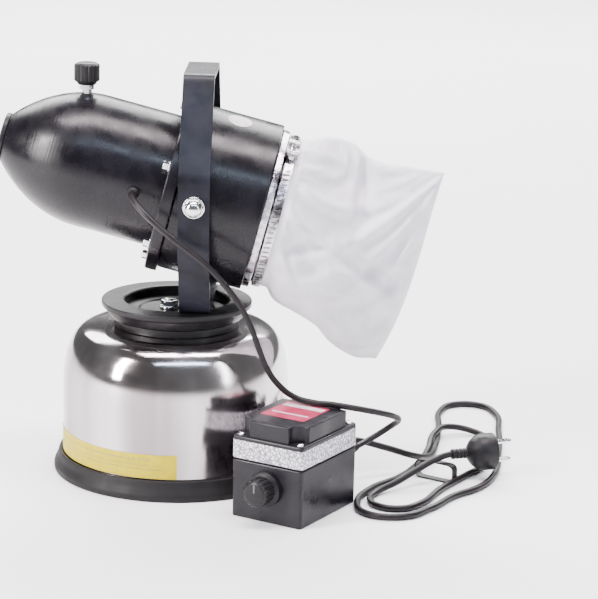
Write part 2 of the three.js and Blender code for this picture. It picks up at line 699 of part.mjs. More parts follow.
function addBoxFittings() {
  const front = BOX_DEPTH / 2;
  const knob = join(
    turned([
      [0, front + GAP], [SPEED_KNOB_RADIUS, front + GAP], [SPEED_KNOB_RADIUS, front + 6],
      [13.5, front + 8], [12.5, front + 20], [11, front + 22], [0, front + 22],
    ], 28),
    rod(3, front - 8, front + 2, 12),
  );
  add(box, "speed_knob", knob.rotateX(Math.PI / 2).translate(0, 0, SPEED_KNOB_HEIGHT), BLACK_PLASTIC);

  const control = rod(9, front - 20, front - 8 - GAP, 14)
    .rotateX(Math.PI / 2)
    .translate(0, 0, SPEED_KNOB_HEIGHT);
  add(box, "circuit_board", join(
    control,
    new THREE.BoxGeometry(16, 2, 36).translate(0, 20 - front, 25),
    new THREE.BoxGeometry(62, 72, 1.6).translate(0, 4, 8),
    new THREE.BoxGeometry(30, 34, 26).translate(-10, 16, 21),
    rod(7, 8, 30, 14).translate(20, 22, 0),
  ), BOARD);

  for (const [name, x, cordRadius] of [
    ["motor_gland", MOTOR_GLAND_X, MOTOR_LEAD_RADIUS],
    ["mains_gland", MAINS_GLAND_X, MAINS_LEAD_RADIUS],
  ]) {
    const gland = turned([
      [0, front - 5], [5, front - 5], [5, front + GAP], [8.5, front + GAP], [8.5, front + 3],
      [7, front + 5], [cordRadius + 1, front + GLAND_LENGTH], [0, front + GLAND_LENGTH],
    ], 16);
    add(box, name, gland.rotateX(-Math.PI / 2).translate(x, 0, GLAND_HEIGHT), RUBBER);
  }
}

// ---------------------------------------------------------------- cords and hose

// Where a cord starts, just clear of its gland on the box's rear face.
function glandMouth(x, beyond) {
  const point = new THREE.Vector3(x, BOX_DEPTH / 2 + GLAND_LENGTH + beyond, GLAND_HEIGHT);
  point.applyAxisAngle(new THREE.Vector3(0, 0, 1), BOX_TURN);
  return [point.x + BOX_X, point.y + BOX_Y, point.z];
}

const HEAD_GLAND = [-38.5, -66, 292];           // where the motor lead leaves the nose

function addMotorLead() {
  const [x, y, z] = HEAD_GLAND;
  const gland = turned([[0, GAP], [6, GAP], [6, 3], [4.2, 5], [4.2, 10], [0, 10]], 14);
  add(fogger, "head_gland", gland.rotateX(Math.PI / 2).translate(x, y, z), RUBBER);

  add(fogger, "motor_lead", cord([
    [x, y - 10.4, z], [x, y - 13, z], [x + 2.5, y - 20, z - 3.5], [-28, -95, 280],
    [-15, -104, 270],
    [0, -108.5, 261], [18, -111, 249], [34, -111, 235], [50, -110, 218], [66, -108, 197],
    [78, -106, 174], [86, -104, 152], [94, -101, 132], [105, -98, 115.5], [120, -98, 105],
    [138, -102, 101], [156, -107, 100.3], [173, -110, 98.8], [190, -108, 91],
    [204, -101, 81], [213, -91, 69], [214.5, -78, 57], [209, -65, 49], [199, -56.5, 46.5],
    glandMouth(MOTOR_GLAND_X, 9), glandMouth(MOTOR_GLAND_X, GAP),
  ], MOTOR_LEAD_RADIUS, 40), RUBBER);
}

function addFeedHose() {
  const plateTop = COLLAR_TOP + GAP + BAR_THICKNESS;
  const barb = (radius) => [
    [0, 0], [radius, 0], [radius, 4], [3, 4.5], [3, 9], [0, 9],
  ];
  add(fogger, "hose_barb_tank", join(
    turned(barb(6.5), 14).translate(0, 0, plateTop + GAP),
    rod(5, LID_TOP + GAP, plateTop + 1, 14),
  ).translate(YOKE_X, HOSE_BARB_Y, 0), BRASS);
  add(fogger, "hose_barb_head", turned(barb(6), 14)
    .translate(0, 0, GAP)
    .rotateX(-Math.PI / 2)
    .translate(-40, 66, 296), BRASS);
  add(fogger, "feed_hose", cord([
    [YOKE_X, HOSE_BARB_Y, plateTop + 9.7], [YOKE_X, HOSE_BARB_Y, 191], [YOKE_X, 41, 198],
    [20, 56, 212], [15, 72, 229],
    [9, 83, 243], [2, 90, 256], [-8, 94.5, 269], [-19, 96.5, 281], [-30, 94, 291],
    [-38, 87, 296], [-40, 80, 296], [-40, 75.6, 296],
  ], HOSE_RADIUS, 26), RUBBER);
}

const HANK_HEIGHT = 7;
const PLUG_CENTRE = [304.9, -9.1, 26];
const PLUG_TURN = THREE.MathUtils.degToRad(20);

// The tied bundle of mains lead, flat on the floor, in its outer shape.
function addMainsLead() {
  add(fogger, "mains_lead", cord([
    glandMouth(MAINS_GLAND_X, GAP), glandMouth(MAINS_GLAND_X, 9), [176, -42, 45],
    [190, -33, 41], [206, -29, 35], [222, -26, 27], [234, -21, 19], [243, -15, 13.5],
    [251, -8, HANK_HEIGHT + MAINS_LEAD_RADIUS + GAP],
  ], MAINS_LEAD_RADIUS, 16), RUBBER);

  const edge = new THREE.SplineCurve([
    [184, -93], [190, -118], [205, -149], [230, -145], [256, -110], [272, -74], [298, -60],
    [322, -26], [334, 20], [338, 100], [338, 180], [326, 238], [298, 243], [277, 208],
    [268, 140], [256, 92], [252, 50], [248, 5], [240, -14], [222, -27], [196, -58],
  ].map(([x, y]) => new THREE.Vector2(x, y)));
  const hank = new THREE.Shape(edge.getPoints(60));
  add(fogger, "mains_hank", slab(hank, HANK_HEIGHT), RUBBER);

  const [x, y, z] = PLUG_CENTRE;
  const behindPlug = (reach) => [
    x - reach * Math.cos(PLUG_TURN), y - reach * Math.sin(PLUG_TURN), z,
  ];
  add(fogger, "plug_lead", cord([
    behindPlug(30.3), behindPlug(36), [262, -27, 23], [250, -36, 17],
    [240, -45, HANK_HEIGHT + MAINS_LEAD_RADIUS + GAP],
  ], MAINS_LEAD_RADIUS, 9), RUBBER);

  addPlug();
  addTie();
}

function addPlug() {
  const body = turned([
    [0, -30], [5, -30], [6, -14], [13, -8], [17.5, -2], [18.6, 4], [18.6, 15], [0, 15],
  ], 24);
  const pinHoles = [-9.5, 9.5].map((height) => rod(2.4 + GAP, 5, 20, 10).translate(height, 0, 0));
  const place = (geometry) => geometry
    .rotateY(Math.PI / 2)
    .rotateZ(PLUG_TURN)
    .translate(...PLUG_CENTRE);
  add(fogger, "mains_plug", place(cut(body, ...pinHoles)), BLACK_PLASTIC);
  for (const [name, height] of [["plug_pin_upper", -9.5], ["plug_pin_lower", 9.5]]) {
    const pin = turned([[0, 5.4], [2.4, 5.4], [2.4, 32], [1.2, 34], [0, 34]], 10);
    add(fogger, name, place(pin.translate(height, 0, 0)), CHROME);
  }
}

// A strap over the bundle where its two ends meet.
function addTie() {
  const [half, top, width] = [14, HANK_HEIGHT + 1.8, 8.4];
  const strap = outline([
    [-half, HANK_HEIGHT + GAP], [half, HANK_HEIGHT + GAP], [half, top], [-half, top],
  ]);
  add(fogger, "cord_tie", slab(strap, width)
    .rotateX(Math.PI / 2)
    .rotateZ(-0.65)
    .translate(262, -22, 0), BLACK_PLASTIC);
}

addTank();
addPickup();
addYoke();
addPivots();
addHousings();
addOutlet();
addMotor();
addIntake();
addFilterBag();
addClamp();
addFlowValve();
addBox();
addBoxFittings();
addMotorLead();
addFeedHose();
addMainsLead();

export default fogger;
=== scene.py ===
# Looks for the electric cold fogger: smooth shells, a cloth filter bag, real cords, labels
# and procedural materials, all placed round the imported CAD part.
# Metres, +Z up, in the row's frame: the origin is the middle of the boot's underside.

import json
import math

import bmesh
import bpy
from mathutils import Matrix, Vector


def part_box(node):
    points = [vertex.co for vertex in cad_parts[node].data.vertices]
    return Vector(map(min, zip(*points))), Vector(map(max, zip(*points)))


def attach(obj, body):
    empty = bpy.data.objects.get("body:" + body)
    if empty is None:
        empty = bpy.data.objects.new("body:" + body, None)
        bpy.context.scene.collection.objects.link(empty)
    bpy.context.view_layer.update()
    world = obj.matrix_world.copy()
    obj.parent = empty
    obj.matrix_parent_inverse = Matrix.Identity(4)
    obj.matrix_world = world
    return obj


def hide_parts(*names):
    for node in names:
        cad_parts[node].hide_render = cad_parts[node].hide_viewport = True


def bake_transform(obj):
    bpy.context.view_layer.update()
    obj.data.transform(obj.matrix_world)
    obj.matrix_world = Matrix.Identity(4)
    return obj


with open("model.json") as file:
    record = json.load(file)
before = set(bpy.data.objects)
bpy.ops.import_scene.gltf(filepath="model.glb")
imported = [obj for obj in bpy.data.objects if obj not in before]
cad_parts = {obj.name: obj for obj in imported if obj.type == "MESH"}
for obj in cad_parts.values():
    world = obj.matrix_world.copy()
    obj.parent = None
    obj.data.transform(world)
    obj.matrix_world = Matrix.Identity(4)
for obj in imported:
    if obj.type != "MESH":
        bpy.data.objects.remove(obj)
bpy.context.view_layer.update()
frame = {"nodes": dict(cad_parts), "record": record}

# ---------------------------------------------------------------- driving dimensions

MM = 0.001

TANK_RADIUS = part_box("tank_shell")[1].y
TANK_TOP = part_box("tank_shell")[1].z
BOOT_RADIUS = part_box("base_boot")[1].y
BOOT_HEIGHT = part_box("base_boot")[1].z
COLLAR_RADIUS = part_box("collar")[1].y
COLLAR_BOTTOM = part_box("collar")[0].z
COLLAR_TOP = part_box("collar")[1].z
LID_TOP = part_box("lid_plate")[1].z
YOKE_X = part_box("yoke")[0].x + 15 * MM
YOKE_HALF_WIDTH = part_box("yoke")[1].y
BAR_WIDTH = 30 * MM
BAR_THICKNESS = 5 * MM
PIVOT_HEIGHT = 286 * MM

HEAD_TILT = math.radians(14)
HEAD_ORIGIN = Vector((YOKE_X, 0, 282.8 * MM))
HOUSING_RADIUS = 83 * MM
HOUSING_FRONT = -20.7 * MM
HOUSING_REAR = 63 * MM
FLANGE_RADIUS = 87.5 * MM
FLANGE_FRONT = HOUSING_FRONT - 12.3 * MM
NOSE_RADIUS = 65.8 * MM
NOSE_DOME_START = -110 * MM
NOSE_TIP = -196 * MM
OUTLET_RADIUS = 23.5 * MM
RIM_RADIUS = 79 * MM
RIM_NECK_RADIUS = 72.5 * MM
BAG_NECK_RADIUS = 74.6 * MM
KNOB_CENTRE = Vector((-90 * MM, 0, 0))

BOX_CENTRE = Vector((123.1 * MM, -123.6 * MM, 0))
BOX_TURN = math.radians(-29.7)
BOX_WIDTH = 77 * MM
BOX_DEPTH = 102 * MM
BOX_BASE_HEIGHT = 57 * MM
BOX_LIP_HEIGHT = 80 * MM
BOX_HEIGHT = 96 * MM
SCREW_INSET = 6.3 * MM
GLAND_HEIGHT = 47 * MM
GLAND_LENGTH = 25 * MM
MOTOR_GLAND_X = 24.4 * MM
MAINS_GLAND_X = 4.4 * MM
KNOB_HEIGHT = 34 * MM

PLUG_CENTRE = Vector((304.9, -9.1, 26))
PLUG_TURN = math.radians(20)

MOTOR_LEAD = 6 * MM
MAINS_LEAD = 6.6 * MM
FEED_HOSE = 7 * MM

# Places that carry a piece built about Z onto the object.
HEAD = Matrix.Translation(HEAD_ORIGIN) @ Matrix.Rotation(HEAD_TILT, 4, "Y")
HEAD_AXIS = HEAD @ Matrix.Rotation(math.pi / 2, 4, "Y")
BOX = Matrix.Translation(BOX_CENTRE) @ Matrix.Rotation(BOX_TURN, 4, "Z")
BOX_REAR = BOX @ Matrix.Translation((0, BOX_DEPTH / 2, 0)) @ Matrix.Rotation(-math.pi / 2, 4, "X")
BOX_FRONT = BOX @ Matrix.Translation((0, -BOX_DEPTH / 2, 0)) @ Matrix.Rotation(math.pi / 2, 4, "X")
HERE = Matrix.Identity(4)


# ---------------------------------------------------------------- material helpers

def new_material(name, color, roughness, metallic=0.0):
    material = bpy.data.materials.new(name)
    material.use_nodes = True
    shader = material.node_tree.nodes["Principled BSDF"]
    shader.inputs["Base Color"].default_value = (*color, 1)
    shader.inputs["Roughness"].default_value = roughness
    shader.inputs["Metallic"].default_value = metallic
    return material


def shader_of(material):
    return material.node_tree.nodes["Principled BSDF"]


def place_texture(material, scale=(1, 1, 1), turn=(0, 0, 0)):
    """Object coordinates, turned and stretched, for the textures of a material."""
    nodes = material.node_tree.nodes
    place = nodes.new("ShaderNodeTexCoord")
    turned_place = nodes.new("ShaderNodeMapping")
    turned_place.inputs["Rotation"].default_value = turn
    stretched = nodes.new("ShaderNodeMapping")
    stretched.inputs["Scale"].default_value = scale
    links = material.node_tree.links
    links.new(place.outputs["Object"], turned_place.inputs["Vector"])
    links.new(turned_place.outputs["Vector"], stretched.inputs["Vector"])
    return stretched.outputs["Vector"]


def noise_field(material, scale, detail=4.0, stretch=(1, 1, 1), turn=(0, 0, 0)):
    texture = material.node_tree.nodes.new("ShaderNodeTexNoise")
    texture.inputs["Scale"].default_value = scale
    texture.inputs["Detail"].default_value = detail
    place = place_texture(material, stretch, turn)
    material.node_tree.links.new(place, texture.inputs["Vector"])
    return texture.outputs["Fac"]


def remap(material, field, low, high, start=0.35, end=0.65):
    """The field's range from start to end stretched to run from low to high."""
    node = material.node_tree.nodes.new("ShaderNodeMapRange")
    node.inputs["From Min"].default_value = start
    node.inputs["From Max"].default_value = end
    node.inputs["To Min"].default_value = low
    node.inputs["To Max"].default_value = high
    material.node_tree.links.new(field, node.inputs["Value"])
    return node.outputs["Result"]


def blend_colors(material, field, first, second, start=0.35, end=0.65):
    """Base colour that goes from first to second as the field rises."""
    mix = material.node_tree.nodes.new("ShaderNodeMix")
    mix.data_type = "RGBA"
    mix.inputs["A"].default_value = (*first, 1)
    mix.inputs["B"].default_value = (*second, 1)
    links = material.node_tree.links
    links.new(remap(material, field, 0, 1, start, end), mix.inputs["Factor"])
    links.new(mix.outputs["Result"], shader_of(material).inputs["Base Color"])


def vary_roughness(material, field, low, high):
    result = remap(material, field, low, high)
    material.node_tree.links.new(result, shader_of(material).inputs["Roughness"])


def bump(material, field, strength, distance):
    """Adds one more layer of bump under any that the material already has."""
    node = material.node_tree.nodes.new("ShaderNodeBump")
    node.inputs["Strength"].default_value = strength
    node.inputs["Distance"].default_value = distance
    links = material.node_tree.links
    links.new(field, node.inputs["Height"])
    normal = shader_of(material).inputs["Normal"]
    if normal.is_linked:
        links.new(normal.links[0].from_socket, node.inputs["Normal"])
    links.new(node.outputs["Normal"], normal)


# ---------------------------------------------------------------- materials

AXIS_TURN = (0, -HEAD_TILT, 0)


def spun_steel():
    """Polished stainless: fine level lines, upright dark and bright stripes of painted reflection, soft
    smears.
    """
    material = new_material("spun_steel", (0.55, 0.52, 0.52), 0.13, 1.0)
    smears = noise_field(material, 14, 3, (1, 1, 2.5))
    vary_roughness(material, smears, 0.08, 0.2)
    # Painted reflection: upright noise stripes darken and brighten the base colour like reflected
    # surroundings.
    painted_reflection_bands = noise_field(material, 11, 3, (1, 1, 0.06))
    blend_colors(material, painted_reflection_bands, (0.32, 0.285, 0.285), (0.7, 0.665, 0.67), 0.38, 0.6)
    bump(material, noise_field(material, 9, 1, (1, 1, 0.7)), 0.3, 0.005)
    bump(material, noise_field(material, 40, 4, (1, 1, 60)), 0.05, 0.0004)
    return material


def brushed_steel(name="brushed_steel", color=(0.6, 0.6, 0.62)):
    material = new_material(name, color, 0.3, 1.0)
    vary_roughness(material, noise_field(material, 120, 5), 0.22, 0.4)
    bump(material, noise_field(material, 90, 4, (12, 1, 1), AXIS_TURN), 0.08, 0.0005)
    return material


def crinkled_steel():
    """Thin bright strip with dents, duller patches, and dark and bright painted reflection in its colour.
    """
    material = new_material("crinkled_steel", (0.7, 0.68, 0.7), 0.25, 1.0)
    patches = noise_field(material, 70, 5)
    # Painted reflection: the patches swing the base colour from near black to bright, like the crinkled
    # strip's glints.
    blend_colors(material, patches, (0.16, 0.13, 0.15), (0.85, 0.83, 0.85), 0.38, 0.58)
    vary_roughness(material, patches, 0.2, 0.4)
    bump(material, noise_field(material, 150, 3), 0.7, 0.002)
    return material


def chrome():
    material = new_material("chrome", (0.82, 0.82, 0.84), 0.12, 1.0)
    vary_roughness(material, noise_field(material, 150, 4), 0.06, 0.2)
    bump(material, noise_field(material, 300, 3), 0.05, 0.0003)
    return material


def brass():
    material = new_material("brass", (0.66, 0.49, 0.2), 0.3, 1.0)
    tarnish = noise_field(material, 160, 4)
    blend_colors(material, tarnish, (0.5, 0.36, 0.15), (0.74, 0.56, 0.25))
    vary_roughness(material, tarnish, 0.22, 0.42)
    return material


def enamel():
    """Semi-gloss black with faint turning lines round the blower's axis, and dust."""
    material = new_material("enamel", (0.004, 0.0035, 0.005), 0.28)
    shader_of(material).inputs["Specular IOR Level"].default_value = 0.28
    dust = noise_field(material, 22, 5)
    blend_colors(material, dust, (0.003, 0.0025, 0.004), (0.009, 0.008, 0.011), 0.4, 0.75)
    vary_roughness(material, noise_field(material, 60, 5), 0.22, 0.34)
    bump(material, noise_field(material, 26, 3, (26, 1, 1), AXIS_TURN), 0.16, 0.0008)
    bump(material, noise_field(material, 12, 2), 0.12, 0.003)
    return material


def bar_paint():
    """Blue-black paint on the flat bar, a little worn and scratched."""
    material = new_material("bar_paint", (0.006, 0.006, 0.01), 0.38)
    shader_of(material).inputs["Specular IOR Level"].default_value = 0.2
    wear = noise_field(material, 35, 6)
    blend_colors(material, wear, (0.004, 0.0042, 0.007), (0.012, 0.0125, 0.02), 0.35, 0.7)
    vary_roughness(material, noise_field(material, 80, 4), 0.3, 0.5)
    bump(material, noise_field(material, 420, 3), 0.12, 0.0004)
    bump(material, noise_field(material, 30, 2), 0.06, 0.002)
    return material


def moulded(name, color, roughness, grain=900, depth=0.16):
    """Moulded plastic or rubber: a fine even grain and a few duller patches."""
    material = new_material(name, color, roughness)
    shader_of(material).inputs["Specular IOR Level"].default_value = 0.25
    patches = noise_field(material, 45, 5)
    lighter = tuple(min(1, c * 1.9 + 0.002) for c in color)
    blend_colors(material, patches, color, lighter, 0.4, 0.8)
    vary_roughness(material, patches, roughness - 0.07, roughness + 0.1)
    bump(material, noise_field(material, grain, 2), depth, 0.0004)
    return material


def cloth():
    """White non-woven cloth: felted fibres, soft mottling, a little light through it."""
    material = new_material("cloth", (0.78, 0.765, 0.8), 0.95)
    shader = shader_of(material)
    shader.inputs["Sheen Weight"].default_value = 0.1
    shader.inputs["Subsurface Weight"].default_value = 0.12
    shader.inputs["Subsurface Radius"].default_value = (0.004, 0.004, 0.004)
    mottling = noise_field(material, 55, 6)
    blend_colors(material, mottling, (0.68, 0.655, 0.7), (0.78, 0.755, 0.8))
    bump(material, noise_field(material, 700, 6, (1, 1.6, 1)), 0.35, 0.0006)
    bump(material, noise_field(material, 90, 4), 0.25, 0.0012)
    return material


def printed(name, color, other, scale):
    """A printed label in two close colours, with no lettering."""
    material = new_material(name, color, 0.45)
    shader_of(material).inputs["Specular IOR Level"].default_value = 0.25
    blend_colors(material, noise_field(material, scale, 3), color, other)
    return material


def speckled_band():
    """The pale band round the control box: small pale cells with dark outlines."""
    material = new_material("speckled_band", (0.6, 0.58, 0.63), 0.3)
    cells = material.node_tree.nodes.new("ShaderNodeTexVoronoi")
    cells.feature = "DISTANCE_TO_EDGE"
    cells.inputs["Scale"].default_value = 300
    material.node_tree.links.new(place_texture(material, (1, 1, 0.8)), cells.inputs["Vector"])
    edge = cells.outputs["Distance"]
    blend_colors(material, edge, (0.16, 0.15, 0.18), (0.8, 0.78, 0.84), 0.03, 0.22)
    return material


def pale_floor():
    material = new_material("pale_floor", (0.88, 0.88, 0.88), 0.7)
    blend_colors(material, noise_field(material, 3, 3), (0.87, 0.87, 0.87), (0.89, 0.89, 0.89))
    return material


STEEL_SPUN = spun_steel()
STEEL = brushed_steel()
CRINKLED_STEEL = crinkled_steel()
CHROME = chrome()
BRASS = brass()
ENAMEL = enamel()
BAR_PAINT = bar_paint()
RUBBER = moulded("rubber", (0.005, 0.0045, 0.005), 0.6, 500, 0.2)
CABLE = moulded("cable", (0.006, 0.0045, 0.0055), 0.42, 700, 0.1)
PLASTIC = moulded("plastic", (0.005, 0.0045, 0.0055), 0.42)
BOX_PLASTIC = moulded("box_plastic", (0.006, 0.0052, 0.0075), 0.32, 1100, 0.1)
# Painted shade: a dark steel colour for the shaded insides of the clamp's slots.
SLOT_SHADE_STEEL = brushed_steel("slot_shade_steel", (0.22, 0.21, 0.22))
BOARD = moulded("board", (0.05, 0.2, 0.08), 0.5)
CLOTH = cloth()
YELLOW = printed("yellow_label", (0.46, 0.36, 0.0), (0.52, 0.42, 0.0), 90)
PINK = printed("pink_label", (0.3, 0.008, 0.045), (0.42, 0.03, 0.09), 60)
OLIVE_PRINT = printed("olive_print", (0.3, 0.25, 0.03), (0.45, 0.38, 0.04), 300)
DIM_PRINT = printed("dim_print", (0.1, 0.1, 0.11), (0.14, 0.14, 0.15), 300)
STICKER = printed("sticker", (0.5, 0.42, 0.46), (0.68, 0.62, 0.65), 200)
BAND = speckled_band()

SLOT_LOOKS = {
    "rubber": RUBBER,
    "stainless": STEEL,
    "chrome": CHROME,
    "black_enamel": ENAMEL,
    "black_bar": BAR_PAINT,
    "black_plastic": PLASTIC,
    "brass": BRASS,
    "steel": STEEL,
    "cloth": CLOTH,
    "board": BOARD,
}


def dress_frame():
    """Every CAD node takes the look of its own material slot."""
    for part in frame["record"]["subparts"]:
        mesh = frame["nodes"][part["node"]].data
        mesh.materials.clear()
        mesh.materials.append(SLOT_LOOKS[part["material_slot"]])


# ---------------------------------------------------------------- shape helpers

def softened(points, radius, steps=5, closed=False):
    """The outline with each corner rounded off, no further than a third of its sides."""
    corners = [Vector(p) for p in points]
    count = len(corners)
    result = []
    for i, corner in enumerate(corners):
        if not closed and i in (0, count - 1):
            result.append(corner)
            continue
        before = corners[i - 1] - corner
        after = corners[(i + 1) % count] - corner
        back = before.normalized() * min(radius, before.length / 3)
        ahead = after.normalized() * min(radius, after.length / 3)
        for step in range(steps + 1):
            t = step / steps
            result.append(corner + back * (1 - t) ** 2 + ahead * t ** 2)
    return result


def mesh_object(name, shell, look, body, replaced=(), place=HERE, sharp=35):
    """Turns a bmesh into a shown piece that rides on a body and stands for CAD nodes."""
    bmesh.ops.remove_doubles(shell, verts=shell.verts, dist=1e-6)
    bmesh.ops.recalc_face_normals(shell, faces=shell.faces)
    shell.transform(place)
    for face in shell.faces:
        face.smooth = True
    for edge in shell.edges:
        edge.smooth = len(edge.link_faces) < 2 or edge.calc_face_angle(0) < math.radians(sharp)
    mesh = bpy.data.meshes.new(name)
    shell.to_mesh(mesh)
    shell.free()
    piece = bpy.data.objects.new(name, mesh)
    bpy.context.scene.collection.objects.link(piece)
    mesh.materials.append(look)
    if body:
        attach(piece, body)
    if replaced:
        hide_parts(*replaced)
    return piece


def turn_into(shell, profile, segments=128, closed=False, angles=(0, 2 * math.pi)):
    """Adds the surface swept by a [radius, height] profile about Z."""
    start, end = angles
    full = end - start > 2 * math.pi - 1e-6
    columns = segments if full else segments + 1
    rows = []
    for k in range(columns):
        angle = start + (end - start) * k / segments
        direction = Vector((math.cos(angle), math.sin(angle), 0))
        rows.append([shell.verts.new(direction * r + Vector((0, 0, z))) for r, z in profile])
    for k in range(segments):
        here, there = rows[k], rows[(k + 1) % columns]
        for i in range(len(profile) if closed else len(profile) - 1):
            j = (i + 1) % len(profile)
            corners = [here[i], there[i], there[j], here[j]]
            if profile[i][0] < 1e-9:
                corners.remove(there[i])
            if profile[j][0] < 1e-9:
                corners.remove(there[j])
            if len(corners) > 2:
                shell.faces.new(corners)


def turned(name, profile, look, body, replaced=(), place=HERE, segments=128, closed=False):
    shell = bmesh.new()
    turn_into(shell, profile, segments, closed)
    return mesh_object(name, shell, look, body, replaced, place)


def prism_into(shell, outline, bottom, top, chamfer=0.0, place=HERE):
    """Adds an upright prism on a closed outline, its two ends drawn in by a chamfer."""
    centre = sum((Vector((x, y, 0)) for x, y in outline), Vector()) / len(outline)
    rings = []
    levels = [(bottom, chamfer), (bottom + chamfer, 0), (top - chamfer, 0), (top, chamfer)]
    for height, inset in levels if chamfer else [(bottom, 0), (top, 0)]:
        ring = []
        for x, y in outline:
            out = Vector((x, y, 0)) - centre
            out -= out.normalized() * inset
            ring.append(shell.verts.new(place @ (centre + out + Vector((0, 0, height)))))
        rings.append(ring)
    for low, high in zip(rings, rings[1:]):
        for i, corner in enumerate(low):
            j = (i + 1) % len(low)
            shell.faces.new([corner, low[j], high[j], high[i]])
    shell.faces.new(reversed(rings[0]))
    shell.faces.new(rings[-1])


def polygon(sides, across_flats):
    radius = across_flats / 2 / math.cos(math.pi / sides)
    steps = [2 * math.pi * i / sides for i in range(sides)]
    return [(radius * math.cos(a), radius * math.sin(a)) for a in steps]


def rectangle(width, depth, radius, steps=6):
    x, y = width / 2, depth / 2
    corners = [(-x, -y), (x, -y), (x, y), (-x, y)]
    return [tuple(p) for p in softened(corners, radius, steps, closed=True)]


def fluted(radius, depth, ribs):
    """A round outline with shallow grooves cut into it."""
    outline = []
    for i in range(ribs * 8):
        angle = 2 * math.pi * i / (ribs * 8)
        groove = max(0, math.cos(ribs * angle)) ** 0.7
        r = radius - depth * groove
        outline.append((r * math.cos(angle), r * math.sin(angle)))
    return outline


def bevelled(piece, width, segments=3):
    modifier = piece.modifiers.new("bevel", "BEVEL")
    modifier.width = width
    modifier.segments = segments
    modifier.limit_method = "ANGLE"
    modifier.angle_limit = math.radians(40)
    return piece


# ---------------------------------------------------------------- camera, light, floor

def add_camera():
    camera = bpy.data.objects.new("camera", bpy.data.cameras.new("camera"))
    right = Vector((0.9994, 0.0256, 0.0238))
    up = Vector((-0.0293, 0.2438, 0.9694))
    turn = Matrix((right, up, right.cross(up))).transposed().to_4x4()
    camera.matrix_world = Matrix.Translation((0.1682, -2.406, 0.7819)) @ turn
    camera.data.lens = 150.66
    camera.data.sensor_width = 36
    camera.data.clip_end = 50
    bpy.context.scene.collection.objects.link(camera)
    bpy.context.scene.camera = camera


def add_light(name, place, target, size, power, color):
    lamp = bpy.data.lights.new(name, "AREA")
    lamp.shape = "RECTANGLE"
    lamp.size, lamp.size_y = size
    lamp.energy = power
    lamp.color = color
    light = bpy.data.objects.new(name, lamp)
    aim = (Vector(target) - Vector(place)).to_track_quat("-Z", "Y")
    light.matrix_world = Matrix.Translation(place) @ aim.to_matrix().to_4x4()
    bpy.context.scene.collection.objects.link(light)


def add_studio():
    shell = bmesh.new()
    prism_into(shell, rectangle(14, 14, 0.5), -0.02, 0)
    floor = mesh_object("studio_floor", shell, pale_floor(), None)

    middle = (0.05, 0, 0.2)
    add_light("overhead", (0.1, -0.25, 2.3), middle, (2.2, 0.6), 130, (1, 0.9, 0.93))
    add_light("cool_strip", (0.3, -1.5, 1.7), middle, (2.0, 0.16), 22, (0.66, 0.8, 1))
    add_light("left_side", (-1.7, -1.1, 1.0), middle, (0.35, 1.4), 115, (1, 0.95, 0.95))
    add_light("right_side", (1.7, -1.1, 0.9), middle, (0.22, 1.4), 16, (0.95, 0.95, 1))
    add_light("behind", (0.2, 3.2, 2.6), (0.1, 2.2, 0), (6, 2.4), 700, (1, 1, 1))

    world = bpy.data.worlds.new("studio")
    world.use_nodes = True
    world.node_tree.nodes["Background"].inputs["Color"].default_value = (0.93, 0.94, 0.97, 1)
    world.node_tree.nodes["Background"].inputs["Strength"].default_value = 0.22
    bpy.context.scene.world = world


# ---------------------------------------------------------------- cords

def curve_through(name, points, diameter, look):
    """A round cord along one open smooth curve through points in millimetres."""
    data = bpy.data.curves.new(name, "CURVE")
    data.dimensions = "3D"
    data.bevel_depth = diameter / 2
    data.bevel_resolution = 4
    data.resolution_u = 10
    data.use_fill_caps = True
    spline = data.splines.new("BEZIER")
    spline.bezier_points.add(len(points) - 1)
    for knot, point in zip(spline.bezier_points, points):
        knot.co = Vector(point) * MM
        knot.handle_left_type = "AUTO"
        knot.handle_right_type = "AUTO"
    data.materials.append(look)
    cord = bpy.data.objects.new(name, data)
    bpy.context.scene.collection.objects.link(cord)
    return cord


def centreline(cord):
    """The points of the line that a curve follows."""
    depth = cord.data.bevel_depth
    cord.data.bevel_depth = 0
    graph = bpy.context.evaluated_depsgraph_get()
    line = bpy.data.meshes.new_from_object(cord.evaluated_get(graph))
    points = [v.co.copy() for v in line.vertices]
    bpy.data.meshes.remove(line)
    cord.data.bevel_depth = depth
    return points


def as_mesh(cord):
    """Swaps a curve for the mesh of its surface."""
    graph = bpy.context.evaluated_depsgraph_get()
    mesh = bpy.data.meshes.new_from_object(cord.evaluated_get(graph))
    name = cord.name
    bpy.data.objects.remove(cord)
    piece = bpy.data.objects.new(name, mesh)
    bpy.context.scene.collection.objects.link(piece)
    mesh.shade_smooth()
    return piece


def on_box_rear(x, beyond):
    """A point in millimetres past the mouth of a gland on the box's rear face."""
    return (BOX_REAR @ Vector((x, -GLAND_HEIGHT, GLAND_LENGTH + beyond * MM))) / MM


def in_plug(reach):
    """A point in millimetres on the plug's own axis, ahead of its middle."""
    return PLUG_CENTRE + Vector((math.cos(PLUG_TURN), math.sin(PLUG_TURN), 0)) * reach


